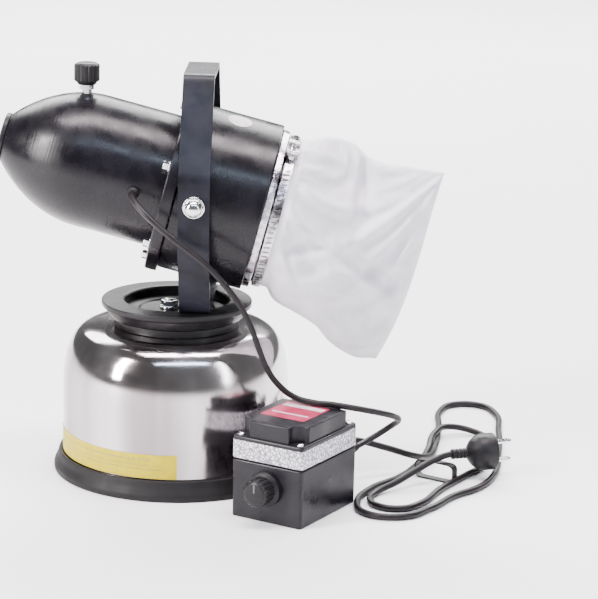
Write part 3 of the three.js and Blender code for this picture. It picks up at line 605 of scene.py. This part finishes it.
def add_mains_lead():
    route = [
        on_box_rear(MAINS_GLAND_X, -6), on_box_rear(MAINS_GLAND_X, 8),
        (180, -36, 43), (212, -17, 30), (240, 4, 16), (256, 34, 6),
        (265, 85, 3.6), (270, 150, 3.5), (273, 205, 3.5), (288, 232, 3.5),
        (317, 232, 3.5), (332, 205, 3.5), (333, 140, 3.5), (329, 60, 3.5),
        (319, -18, 3.5), (303, -54, 3.5), (278, -82, 3.5), (255, -120, 3.5),
        (226, -149, 3.5), (194, -143, 3.5), (184, -110, 3.5), (198, -66, 3.5),
        (225, -30, 3.5), (244, 10, 4.6), (256, 60, 5), (264, 102, 10.4),
        (280, 129, 9.5), (308, 129, 4.4), (321, 102, 3.6), (322, 62, 3.5),
        (313, 20, 3.5), (292, -16, 3.5), (267, -60, 4), (243, -111, 3.6),
        (226, -125, 3.5), (205, -120, 3.5), (196.5, -100, 3.5), (203, -78, 4),
        (222, -59, 8), (242, -43, 16), (260, -30, 23), in_plug(-31), in_plug(-10),
    ]
    lead = curve_through("mains_cable", route, MAINS_LEAD, CABLE)
    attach(lead, "base")
    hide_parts("mains_lead", "mains_hank", "plug_lead")
    plug = add_plug()
    tie = add_tie()


def add_plug():
    """The plug's moulded body, with its ribbed sleeve, lying on its side."""
    lying = Matrix.Rotation(PLUG_TURN, 4, "Z") @ Matrix.Rotation(math.pi / 2, 4, "Y")
    place = Matrix.Translation(PLUG_CENTRE * MM) @ lying
    profile = [(0, -30), (4.6, -30)]
    for rib in range(4):
        base = -29 + rib * 4
        profile += [(5.2, base), (5.2, base + 2.4), (4.4, base + 2.9), (4.4, base + 3.6)]
    profile += [(7.5, -12), (13, -8), (17.3, -2), (18.5, 4), (18.5, 15), (0, 15)]
    scaled = [(r * MM, z * MM) for r, z in profile]
    rounded = softened(scaled, 1.2 * MM, 3)
    return turned("plug_body", rounded, PLASTIC, "base", ["mains_plug"], place, 64)


def add_tie():
    """A strap closed round the bundle where its loops meet."""
    shell = bmesh.new()
    outer = rectangle(44 * MM, 19 * MM, 8 * MM, 8)
    inner = [(x * 0.94, y * 0.86) for x, y in outer]
    half = 4.5 * MM
    rings = []
    for outline, y in [(outer, -half), (outer, half), (inner, half), (inner, -half)]:
        rings.append([shell.verts.new((u, y, v)) for u, v in outline])
    for k in range(4):
        here, there = rings[k], rings[(k + 1) % 4]
        for i, corner in enumerate(here):
            j = (i + 1) % len(here)
            shell.faces.new([corner, here[j], there[j], there[i]])
    place = Matrix.Translation((0.262, -0.022, 0.0098)) @ Matrix.Rotation(-0.55, 4, "Z")
    tie = mesh_object("strap_tie", shell, PLASTIC, "base", ["cord_tie"], place)
    return bevelled(tie, 0.4 * MM)


def add_motor_lead():
    route = [
        (-38.5, -73, 292), (-38, -81, 291.2), (-34.5, -90, 288), (-27, -98, 281.5),
        (-16, -104, 272.5), (-1, -108.5, 261), (17, -111, 248), (34, -112, 235), (50, -110, 218),
        (66, -108, 197), (78, -106, 174), (86, -104, 152), (94, -101, 132),
        (105, -98, 115.5), (120, -98, 104), (138, -102, 99.8), (156, -106, 99.6),
        (173, -108, 98), (189, -106, 95), (205, -98, 90), (217, -84, 83),
        (222, -66, 74), (215, -51, 63), (199, -50, 51.3),
        on_box_rear(MOTOR_GLAND_X, 6), on_box_rear(MOTOR_GLAND_X, -8),
    ]
    curve = curve_through("motor_cable", route, MOTOR_LEAD, CABLE)
    path = centreline(curve)
    lead = as_mesh(curve)
    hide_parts("motor_lead")
    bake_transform(lead)


def add_feed_hose():
    route = [
        (21.5, 38, 182), (21.5, 39, 191), (20, 46, 204), (16, 58, 217),
        (10, 73, 229), (2, 86, 240), (-5.5, 97, 251), (-13.5, 104.5, 262),
        (-22.5, 107.5, 273.5), (-31.5, 103.5, 285), (-38, 92.5, 293), (-40, 79, 296),
        (-40, 69, 296),
    ]
    curve = curve_through("feed_tube", route, FEED_HOSE, RUBBER)
    path = centreline(curve)
    hose = as_mesh(curve)
    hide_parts("feed_hose")
    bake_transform(hose)


# ---------------------------------------------------------------- tank

def shoulder():
    """The tank's rounded shoulder, from its upright side in to the neck."""
    points = []
    for i in range(25):
        angle = i / 24 * math.pi / 2
        inward = 54 * MM * (1 - max(0, math.cos(angle)) ** 0.42)
        points.append((TANK_RADIUS - inward, 88 * MM + 59.7 * MM * math.sin(angle)))
    return points


def add_tank():
    bottom = 5.3 * MM
    profile = [(0, bottom), (TANK_RADIUS - 4 * MM, bottom), (TANK_RADIUS, bottom + 4 * MM)]
    profile += shoulder() + [(58 * MM, TANK_TOP), (56.5 * MM, TANK_TOP), (56.5 * MM, 140 * MM)]
    turned("tank_skin", profile, STEEL_SPUN, "base", ["tank_shell"], segments=192)

    lip = TANK_RADIUS + 0.3 * MM
    foot = [
        (0, 0), (BOOT_RADIUS - 1 * MM, 0), (BOOT_RADIUS, 1.5 * MM), (BOOT_RADIUS, 6 * MM),
        (BOOT_RADIUS - 3.5 * MM, 13 * MM), (lip + 3.6 * MM, BOOT_HEIGHT - 0.5 * MM),
        (lip + 2.6 * MM, BOOT_HEIGHT), (lip, BOOT_HEIGHT - 0.3 * MM), (lip, 5 * MM), (0, 5 * MM),
    ]
    turned("boot_skin", softened(foot, 1.6 * MM), RUBBER, "base", ["base_boot"], segments=160)

    neck = [(62, 148), (62, 155.5), (58.3, 155.5), (58.3, 148)]
    profile = [(r * MM, z * MM) for r, z in neck]
    rounded = softened(profile, 0.7 * MM, 3, closed=True)
    turned("neck_band", rounded, PLASTIC, "base", ["neck_ring"], closed=True)

    ring = [
        (66 * MM, COLLAR_BOTTOM), (COLLAR_RADIUS - 2.6 * MM, COLLAR_TOP - 7 * MM),
        (COLLAR_RADIUS - 0.3 * MM, COLLAR_TOP - 5.6 * MM), (COLLAR_RADIUS, COLLAR_TOP - 1 * MM),
        (COLLAR_RADIUS - 1 * MM, COLLAR_TOP), (53 * MM, COLLAR_TOP), (51 * MM, COLLAR_TOP - 2 * MM),
        (51 * MM, COLLAR_BOTTOM),
    ]
    turned(
        "collar_skin", softened(ring, 1.2 * MM, 4, closed=True), PLASTIC, "base", ["collar"],
        closed=True, segments=160,
    )
    turned("lid_skin", [
        (0, LID_TOP - 1.5 * MM), (36 * MM, LID_TOP - 1.5 * MM), (38 * MM, LID_TOP),
        (50.7 * MM, LID_TOP), (50.7 * MM, LID_TOP - 5 * MM),
    ], PLASTIC, "base", ["lid_plate"])
    add_tank_label()


def add_tank_label():
    """A plain yellow label on the tank's front, with bars where print would be."""
    skin = TANK_RADIUS + 0.25 * MM
    span = (math.radians(180), math.radians(275))
    for name, low, high, angles, look, lift in [
        ("tank_label", 21, 45, span, YELLOW, 0),
        ("tank_label_bar_1", 38.5, 40.5, (math.radians(190), math.radians(262)), OLIVE_PRINT, 0.15),
        ("tank_label_bar_2", 33.5, 34.7, (math.radians(190), math.radians(268)), OLIVE_PRINT, 0.15),
        ("tank_label_bar_3", 29.5, 30.7, (math.radians(190), math.radians(268)), OLIVE_PRINT, 0.15),
    ]:
        shell = bmesh.new()
        radius = skin + lift * MM
        turn_into(shell, [(radius, low * MM), (radius, high * MM)], 64, angles=angles)
        mesh_object(name, shell, look, "base")


def add_lid_fitting():
    place = Matrix.Translation((-7.4 * MM, 2 * MM, LID_TOP - 1.2 * MM))
    shell = bmesh.new()
    turn_into(shell, [(0, 0), (9.6 * MM, 0), (9.6 * MM, 2.4 * MM), (0, 2.4 * MM)], 48)
    prism_into(shell, polygon(6, 15 * MM), 2.2 * MM, 8.4 * MM, 0.7 * MM)
    cap = [(0, 8.4), (4.2, 8.4), (4.2, 9.4), (3.6, 10), (0, 10)]
    turn_into(shell, [(r * MM, z * MM) for r, z in cap], 32)
    fitting = mesh_object("lid_nut", shell, CHROME, "base", ["lid_fitting"], place)
    bevelled(fitting, 0.4 * MM)


# ---------------------------------------------------------------- yoke

def add_yoke():
    """The flat bar bent into a loop, swept round its outline with rounded bends."""
    half = [(59, 173.3), (62, 178), (97, 245), (97, 314), (45, 400), (40, 404)]
    loop = [Vector((y, z)) * MM for y, z in half]
    loop += [Vector((-p.x, p.y)) for p in reversed(loop)]
    loop = softened(loop, 7 * MM, 6, closed=True)
    shell = bmesh.new()
    rings = []
    for i, point in enumerate(loop):
        ahead = (loop[(i + 1) % len(loop)] - loop[i - 1]).normalized()
        inner = point + Vector((-ahead.y, ahead.x)) * BAR_THICKNESS
        corners = []
        for x, edge in [(-0.5, point), (0.5, point), (0.5, inner), (-0.5, inner)]:
            corners.append(shell.verts.new((YOKE_X + x * BAR_WIDTH, edge.x, edge.y)))
        rings.append(corners)
    for i, here in enumerate(rings):
        there = rings[(i + 1) % len(rings)]
        for k in range(4):
            j = (k + 1) % 4
            shell.faces.new([here[k], here[j], there[j], there[k]])
    yoke = mesh_object("yoke_bar", shell, BAR_PAINT, "base", ["yoke"])
    bevelled(yoke, 1.1 * MM, 4)


def add_pivots():
    """Washer, hexagon and chromed dome on each arm of the yoke."""
    for side, sign in [("front", -1), ("rear", 1)]:
        turn = Matrix.Rotation(-sign * math.pi / 2, 4, "X")
        place = Matrix.Translation((YOKE_X, 0, PIVOT_HEIGHT)) @ turn
        face = YOKE_HALF_WIDTH + 0.2 * MM
        shell = bmesh.new()
        washer = [(0, 0), (10.5, 0), (10.5, 1.6), (0, 1.6)]
        turn_into(shell, [(r * MM, face + z * MM) for r, z in washer], 48)
        prism_into(shell, polygon(6, 17 * MM), face + 1.5 * MM, face + 7 * MM, 0.8 * MM)
        dome = [(8.1, 6.5), (8.0, 8), (7.1, 10), (5.4, 11.6), (3, 12.5), (0, 12.8)]
        turn_into(shell, [(r * MM, face + z * MM) for r, z in dome], 48)
        nut = mesh_object(f"pivot_nut_{side}", shell, CHROME, "base", [f"pivot_bolt_{side}"], place)
        bevelled(nut, 0.4 * MM)


def add_yoke_screws():
    for side, y in [("front", -24 * MM), ("rear", 24 * MM)]:
        shell = bmesh.new()
        prism_into(shell, polygon(6, 10 * MM), 178.6 * MM, 182.8 * MM, 0.6 * MM)
        place = Matrix.Translation((YOKE_X, y, 0))
        screw = mesh_object(
            f"yoke_bolt_{side}", shell, CHROME, "base", [f"yoke_screw_{side}"], place,
        )
        bevelled(screw, 0.3 * MM)


# ---------------------------------------------------------------- blower head

def nose_profile():
    """Straight at the back, then one smooth curve down to the outlet."""
    start = (NOSE_DOME_START, NOSE_RADIUS)
    pull = (NOSE_DOME_START - 32 * MM, NOSE_RADIUS)
    push = (NOSE_DOME_START - 64 * MM, NOSE_RADIUS - 16.8 * MM)
    end = (NOSE_TIP, OUTLET_RADIUS)
    points = [(NOSE_RADIUS, FLANGE_FRONT - 0.3 * MM)]
    for i in range(49):
        t = i / 48
        weights = ((1 - t) ** 3, 3 * t * (1 - t) ** 2, 3 * t * t * (1 - t), t ** 3)
        s = sum(w * p[0] for w, p in zip(weights, (start, pull, push, end)))
        r = sum(w * p[1] for w, p in zip(weights, (start, pull, push, end)))
        points.append((r, s))
    return points + [(OUTLET_RADIUS - 2.5 * MM, NOSE_TIP), (OUTLET_RADIUS - 2.5 * MM, NOSE_TIP + 30 * MM)]


def add_head_shells():
    turned("nose_skin", nose_profile(), ENAMEL, "head", ["nose_shell"], HEAD_AXIS, 192)

    radius, front, rear = HOUSING_RADIUS, HOUSING_FRONT, HOUSING_REAR
    barrel = [
        (radius - 2.5 * MM, front), (radius, front), (radius, rear), (radius - 2.5 * MM, rear),
    ]
    turned(
        "housing_skin", softened(barrel, 1.5 * MM, 4, closed=True), ENAMEL, "head",
        ["motor_housing"], HEAD_AXIS, 192, closed=True,
    )
    flange = [
        (58 * MM, FLANGE_FRONT), (FLANGE_RADIUS, FLANGE_FRONT),
        (FLANGE_RADIUS, FLANGE_FRONT + 12 * MM), (58 * MM, FLANGE_FRONT + 12 * MM),
    ]
    turned(
        "flange_skin", softened(flange, 2 * MM, 5, closed=True), ENAMEL, "head",
        ["flange_ring"], HEAD_AXIS, 192, closed=True,
    )
    for i in range(6):
        angle = math.radians(22 + 60 * i)
        centre = Vector((-math.sin(angle) * 80.5 * MM, -math.cos(angle) * 80.5 * MM, FLANGE_FRONT))
        shell = bmesh.new()
        base = [(0, 0.1), (5.6, 0.1), (5.6, -1), (0, -1)]
        turn_into(shell, [(r * MM, z * MM) for r, z in base], 32)
        prism_into(shell, polygon(6, 8 * MM), -6.5 * MM, -0.9 * MM, 0.5 * MM)
        bolt = mesh_object(
            f"flange_hex_{i + 1}", shell, CHROME, "head", [f"flange_bolt_{i + 1}"],
            HEAD_AXIS @ Matrix.Translation(centre),
        )
        bevelled(bolt, 0.3 * MM)


def add_outlet():
    tip = NOSE_TIP
    ring = [
        (21, 10), (21, -0.3), (24, -0.3), (24, -4), (22.5, -5), (18.4, -5), (18.4, 10),
    ]
    profile = [(r * MM, tip + z * MM) for r, z in ring]
    turned(
        "outlet_skin", softened(profile, 0.8 * MM, 4, closed=True), PLASTIC, "head",
        ["outlet_ring"], HEAD_AXIS, 96, closed=True,
    )


def add_rear_rim():
    neck, rear = RIM_NECK_RADIUS, HOUSING_REAR
    ring = [
        (RIM_RADIUS, rear + 0.3 * MM), (RIM_RADIUS, rear + 7 * MM), (neck, rear + 8 * MM),
        (neck, 83 * MM), (neck - 2 * MM, 83 * MM), (neck - 2 * MM, rear + 0.3 * MM),
    ]
    turned(
        "rim_skin", softened(ring, 1 * MM, 4, closed=True), CRINKLED_STEEL, "head", ["rear_rim"],
        HEAD_AXIS, 160, closed=True,
    )


def add_clamp():
    """Slotted steel band with its screw housing high on the -Y side."""
    inner = BAG_NECK_RADIUS + 1.1 * MM
    start, end = HOUSING_REAR + 9 * MM, HOUSING_REAR + 18 * MM
    angle = math.radians(62)
    seat = inner + 4.2 * MM
    shell = bmesh.new()
    band = [
        (inner, start), (inner + 0.8 * MM, start + 0.4 * MM), (inner + 0.8 * MM, end - 0.4 * MM),
        (inner, end), (inner - 0.5 * MM, end), (inner - 0.5 * MM, start),
    ]
    turn_into(shell, band, 160, closed=True)
    around = Matrix.Rotation(math.pi * 1.5 - angle, 4, "Z")
    out = Matrix.Translation((seat, 0, (start + end) / 2))
    for dy in (-8.5 * MM, 8.5 * MM):
        lug = Matrix.Translation((0, dy, 0))
        prism_into(
            shell, rectangle(8 * MM, 5 * MM, 1 * MM), -6 * MM, 6 * MM, 0.6 * MM,
            around @ out @ lug,
        )
    prism_into(
        shell, rectangle(4 * MM, 14 * MM, 1.2 * MM), -6 * MM, 6 * MM, 0.6 * MM,
        around @ out @ Matrix.Translation((-2.2 * MM, 0, 0)),
    )
    mesh_object("clamp_skin", shell, CRINKLED_STEEL, "head", ["clamp_band"], HEAD_AXIS)

    # Painted shade: the band's slots are drawn as dark bars on the band, with the shade inside each hole
    # painted in.
    slots = bmesh.new()
    for i in range(40):
        turn = Matrix.Rotation(math.pi * 1.5 - angle + math.radians(22 + 4 * i), 4, "Z")
        place = turn @ Matrix.Translation((inner + 0.75 * MM, 0, (start + end) / 2))
        place = place @ Matrix.Rotation(math.radians(12), 4, "X")
        prism_into(slots, rectangle(0.3 * MM, 2 * MM, 0.1 * MM, 1), -3 * MM, 3 * MM, 0, place)
    painted_slot_shade = mesh_object("clamp_slots", slots, SLOT_SHADE_STEEL, "head", place=HEAD_AXIS)


# ---------------------------------------------------------------- filter bag

# The bag's outline seen from the side, neck to sewn end, in millimetres.
BAG_TOP = [(124.9, 333.9), (146, 340), (170, 334), (190, 318), (226, 312), (260, 307)]
BAG_BOTTOM = [(88.8, 189.2), (97, 178), (116, 166), (138, 152), (166, 124), (199, 117)]
# Folds pressed into the cloth's front: start, end, width and depth in millimetres.
BAG_FOLDS = [
    ((184, 340), (173, 244), 6, 15),
    ((160, 232), (216, 188), 7, 19),
    ((100, 240), (156, 242), 9, 13),
    ((118, 214), (152, 222), 8, 8),
    ((202, 204), (222, 244), 6, 9),
    ((112, 322), (120, 268), 5, 4),
    ((232, 302), (240, 240), 8, 6),
    ((150, 176), (180, 146), 7, 7),
]
BAG_ROWS = 60
BAG_SIDES = 132
BAG_EDGE_SHARE = 0.13
SETTLE_FRAMES = 40
FOLD_FULL_DEPTH = 24 * MM
FOLD_SOFT_SIDE = 1.7
FOLD_SHARP_SIDE = 0.6


def along(points, t):
    """The point a share t of the way along a smooth curve through evenly timed points."""
    last = len(points) - 1
    k = min(int(t * last), last - 1)
    u = t * last - k
    p0, p1, p2, p3 = (Vector(points[min(last, max(0, k + i))]) for i in (-1, 0, 1, 2))
    return 0.5 * (
        2 * p1 + (p2 - p0) * u + (2 * p0 - 5 * p1 + 4 * p2 - p3) * u ** 2
        + (3 * p1 - p0 - 3 * p2 + p3) * u ** 3
    )


def bag_point(t, angle):
    """A point of the bag as cut, t from 0 at the neck to 1 at the sewn end."""
    top, bottom = along(BAG_TOP, t), along(BAG_BOTTOM, t)
    side = math.sin(angle)
    flat = (top + bottom) / 2 + (top - bottom) / 2 * side
    flat.x += 9 * t ** 3 * (1 - side ** 2) * (0.7 - 0.6 * side)
    thick = max(1.2, BAG_NECK_RADIUS / MM * math.sqrt(max(0, 1 - t ** 1.7)))
    gather = 2.2 * math.sin(17 * angle + 2 * math.sin(3 * angle)) * min(1, 6 * t) * max(0, 1 - 2.2 * t)
    return Vector((flat.x, (thick + gather) * math.cos(angle), flat.y + gather * side)) * MM


def bag_mesh():
    shell = bmesh.new()
    angles = [2 * math.pi * i / BAG_SIDES for i in range(BAG_SIDES)]
    rows = []
    for s in (73 * MM, 78 * MM, 83 * MM):
        row = []
        for angle in angles:
            local = Vector((s, BAG_NECK_RADIUS * math.cos(angle), BAG_NECK_RADIUS * math.sin(angle)))
            row.append(shell.verts.new(HEAD @ local))
        rows.append(row)
    for k in range(BAG_ROWS + 1):
        rows.append([shell.verts.new(bag_point(k / BAG_ROWS, a)) for a in angles])
    for low, high in zip(rows, rows[1:]):
        for i in range(BAG_SIDES):
            j = (i + 1) % BAG_SIDES
            shell.faces.new([low[i], low[j], high[j], high[i]])
    return shell, len(rows)


def let_cloth_settle(bag, frames):
    """Lets the cloth wrinkle a little between its pinned neck, outline and sewn end."""
    cloth_modifier = bag.modifiers.new("cloth", "CLOTH")
    settings = cloth_modifier.settings
    settings.vertex_group_mass = "held"
    settings.quality = 6
    settings.mass = 0.12
    settings.tension_stiffness = 30
    settings.compression_stiffness = 20
    settings.shear_stiffness = 10
    settings.bending_stiffness = 2.5
    settings.shrink_min = -0.02
    settings.use_pressure = True
    settings.uniform_pressure_force = 0.3
    cloth_modifier.collision_settings.use_self_collision = False
    cloth_modifier.point_cache.frame_start = 1
    cloth_modifier.point_cache.frame_end = frames
    for number in range(1, frames + 1):
        bpy.context.scene.frame_set(number)
    graph = bpy.context.evaluated_depsgraph_get()
    settled = bpy.data.meshes.new_from_object(bag.evaluated_get(graph))
    bag.modifiers.remove(cloth_modifier)
    bag.data = settled
    bpy.context.scene.frame_set(1)


def press_fold(bag, start, end, width, depth):
    """Pushes the cloth's -Y side in along a line, with a sharper edge on one side."""
    a = Vector((start[0], 0, start[1])) * MM
    run = Vector((end[0], 0, end[1])) * MM - a
    for vertex in bag.data.vertices:
        room = min(1, max(0, -vertex.co.y / FOLD_FULL_DEPTH))
        flat = Vector((vertex.co.x, 0, vertex.co.z)) - a
        t = min(1, max(0, flat.dot(run) / run.length_squared))
        reach = flat - run * t
        side = FOLD_SOFT_SIDE if reach.cross(run).y > 0 else FOLD_SHARP_SIDE
        fade = math.sin(math.pi * min(0.97, max(0.03, t)))
        push = math.exp(-(reach.length / (width * side * MM)) ** 2)
        vertex.co.y += depth * MM * fade * room * push


def add_bag():
    shell, rows = bag_mesh()
    bag = mesh_object("bag_cloth", shell, CLOTH, None, ["filter_bag"], sharp=180)
    held = bag.vertex_groups.new(name="held")
    held.add(list(range(BAG_SIDES * 4)), 1, "REPLACE")
    held.add(list(range(BAG_SIDES * (rows - 2), BAG_SIDES * rows)), 1, "REPLACE")
    for i in range(BAG_SIDES):
        if abs(math.cos(2 * math.pi * i / BAG_SIDES)) < BAG_EDGE_SHARE:
            held.add(range(i, BAG_SIDES * rows, BAG_SIDES), 1, "REPLACE")
    let_cloth_settle(bag, SETTLE_FRAMES)
    for start, end, width, depth in BAG_FOLDS:
        press_fold(bag, start, end, width, depth)
    smooth = bag.modifiers.new("smooth", "SUBSURF")
    smooth.levels = 1
    smooth.render_levels = 1
    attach(bag, "head")


# ---------------------------------------------------------------- flow knob and sticker

def add_flow_knob():
    shell = bmesh.new()
    bottom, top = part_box("flow_knob")[0].z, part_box("flow_knob")[1].z
    foot = [(0, 0), (8.6, 0), (9.4, 1), (10.6, 4.4), (0, 4.4)]
    turn_into(shell, [(r * MM, bottom + z * MM) for r, z in foot], 48)
    prism_into(shell, fluted(12.4 * MM, 0.7 * MM, 18), bottom + 3 * MM, top - 1.2 * MM, 1 * MM)
    cap = [(0, 0), (9, 0), (10.4, -0.7), (11, -1.6)]
    turn_into(shell, [(r * MM, top + z * MM) for r, z in cap], 48)
    mesh_object(
        "knob_grip", shell, PLASTIC, "flow_knob", ["flow_knob"], Matrix.Translation(KNOB_CENTRE),
    )


def add_sticker():
    """A small round blank sticker high on the motor housing."""
    shell = bmesh.new()
    centre_s = 20 * MM
    centre_angle = math.radians(103)
    radius = 12 * MM
    skin = HOUSING_RADIUS + 0.2 * MM
    rings = []
    for k in range(9):
        reach = radius * k / 8
        ring = []
        for i in range(40):
            turn = 2 * math.pi * i / 40
            angle = centre_angle + reach * math.cos(turn) / skin
            s = centre_s + reach * math.sin(turn)
            ring.append(shell.verts.new((
                skin * -math.sin(angle), skin * math.cos(angle), s,
            )))
        rings.append(ring)
    for low, high in zip(rings, rings[1:]):
        for i in range(40):
            j = (i + 1) % 40
            shell.faces.new([low[i], low[j], high[j], high[i]])
    mesh_object("round_sticker", shell, STICKER, "head", place=HEAD_AXIS)


# ---------------------------------------------------------------- control box

def notched_top():
    """The lid's raised part: a rectangle with a round notch at each corner."""
    x, y = BOX_WIDTH / 2 - 1.2 * MM, BOX_DEPTH / 2 - 1.2 * MM
    cx, cy = BOX_WIDTH / 2 - SCREW_INSET, BOX_DEPTH / 2 - SCREW_INSET
    notch = 10.5 * MM
    outline = []
    for sx, sy, start in [(1, 1, 90), (-1, 1, 180), (-1, -1, 270), (1, -1, 0)]:
        corner = Vector((sx * cx, sy * cy))
        arc = []
        for i in range(37):
            angle = math.radians(i * 10)
            p = corner + Vector((math.cos(angle), math.sin(angle))) * notch
            if abs(p.x) <= x and abs(p.y) <= y:
                arc.append(p)
        turn = math.atan2(corner.y, corner.x)
        arc.sort(key=lambda p: math.atan2(p.y, p.x) - turn)
        outline += [tuple(p) for p in arc]
    return outline


def add_box():
    shell = bmesh.new()
    prism_into(shell, rectangle(BOX_WIDTH, BOX_DEPTH, 4 * MM), 0, BOX_BASE_HEIGHT - 0.3 * MM)
    base = mesh_object("box_body", shell, BOX_PLASTIC, "base", ["box_base"], BOX)
    bevelled(base, 1.2 * MM)

    shell = bmesh.new()
    prism_into(shell, rectangle(BOX_WIDTH, BOX_DEPTH, 4 * MM), BOX_BASE_HEIGHT, BOX_LIP_HEIGHT)
    prism_into(shell, notched_top(), BOX_LIP_HEIGHT - 1 * MM, BOX_HEIGHT)
    lid = mesh_object("box_cover", shell, BOX_PLASTIC, "base", ["box_lid"], BOX)
    bevelled(lid, 1.6 * MM)

    shell = bmesh.new()
    outline = rectangle(BOX_WIDTH + 0.5 * MM, BOX_DEPTH + 0.5 * MM, 4.2 * MM)
    rings = []
    for z in (58.5 * MM, 76 * MM):
        rings.append([shell.verts.new((x, y, z)) for x, y in outline])
    for i, corner in enumerate(rings[0]):
        j = (i + 1) % len(outline)
        shell.faces.new([corner, rings[0][j], rings[1][j], rings[1][i]])
    mesh_object("box_band", shell, BAND, "base", place=BOX)

    for name, size, at, look, lift in [
        ("box_label", (48, 50), (-1.6, 2), PINK, 0),
        ("box_label_stripe", (44, 9), (-1.6, 18), STICKER, 0.15),
        ("box_label_bar", (40, 3), (-1.6, -8), STICKER, 0.15),
    ]:
        shell = bmesh.new()
        low = BOX_HEIGHT + (0.02 + lift) * MM
        prism_into(shell, rectangle(size[0] * MM, size[1] * MM, 1.5 * MM), low, low + 0.15 * MM)
        centre = Matrix.Translation((at[0] * MM, at[1] * MM, 0))
        mesh_object(name, shell, look, "base", place=BOX @ centre)


def add_box_hardware():
    x, y = BOX_WIDTH / 2 - SCREW_INSET, BOX_DEPTH / 2 - SCREW_INSET
    for i, (sx, sy) in enumerate([(-1, -1), (1, -1), (1, 1), (-1, 1)]):
        shell = bmesh.new()
        head = [(0, 0.1), (3.4, 0.1), (3.3, 1), (2.4, 2), (1.2, 2.3), (0, 2.3)]
        turn_into(shell, [(r * MM, BOX_LIP_HEIGHT + z * MM) for r, z in head], 32)
        place = BOX @ Matrix.Translation((sx * x, sy * y, 0))
        mesh_object(f"lid_screw_head_{i + 1}", shell, CHROME, "base", [f"lid_screw_{i + 1}"], place)

    knob = bmesh.new()
    skirt = [(0, 0.3), (17, 0.3), (17, 4.5), (16, 5.8), (13.6, 7), (0, 7)]
    turn_into(knob, [(r * MM, z * MM) for r, z in skirt], 64)
    prism_into(knob, fluted(13.4 * MM, 0.9 * MM, 16), 6 * MM, 21 * MM, 0.9 * MM)
    cap = [(0, 22), (9, 22), (11, 21.4), (11.8, 20.6)]
    turn_into(knob, [(r * MM, z * MM) for r, z in cap], 48)
    place = BOX_FRONT @ Matrix.Translation((0, KNOB_HEIGHT, 0))
    mesh_object("speed_knob_grip", knob, PLASTIC, "speed_knob", ["speed_knob"], place)
    mark = bmesh.new()
    prism_into(mark, rectangle(1.4 * MM, 8 * MM, 0.4 * MM, 2), 21.9 * MM, 22.15 * MM)
    pointer = place @ Matrix.Translation((0, 5 * MM, 0))
    mesh_object("speed_knob_mark", mark, DIM_PRINT, "speed_knob", place=pointer)

    for name, gland_x, cord in [
        ("motor", MOTOR_GLAND_X, MOTOR_LEAD),
        ("mains", MAINS_GLAND_X, MAINS_LEAD),
    ]:
        profile = [(0, 0.2), (8.5, 0.2), (8.5, 3), (6.8, 4.5)]
        narrow = cord / 2 / MM + 0.7
        for rib in range(5):
            z = 5.5 + rib * 3.8
            r = 6.4 + (narrow - 6.4) * rib / 4.5
            profile += [(r, z), (r, z + 2.2), (r - 0.8, z + 2.6), (r - 0.8, z + 3.4)]
        profile += [(narrow, 24.6), (narrow - 0.4, 25)]
        scaled = [(r * MM, z * MM) for r, z in profile]
        place = BOX_REAR @ Matrix.Translation((gland_x, -GLAND_HEIGHT, 0))
        turned(f"{name}_sleeve", scaled, RUBBER, "base", [f"{name}_gland"], place, 48)


dress_frame()
add_camera()
add_studio()
add_mains_lead()
add_motor_lead()
add_feed_hose()
add_tank()
add_lid_fitting()
add_yoke()
add_pivots()
add_yoke_screws()
add_head_shells()
add_outlet()
add_rear_rim()
add_clamp()
add_bag()
add_flow_knob()
add_sticker()
add_box()
add_box_hardware()
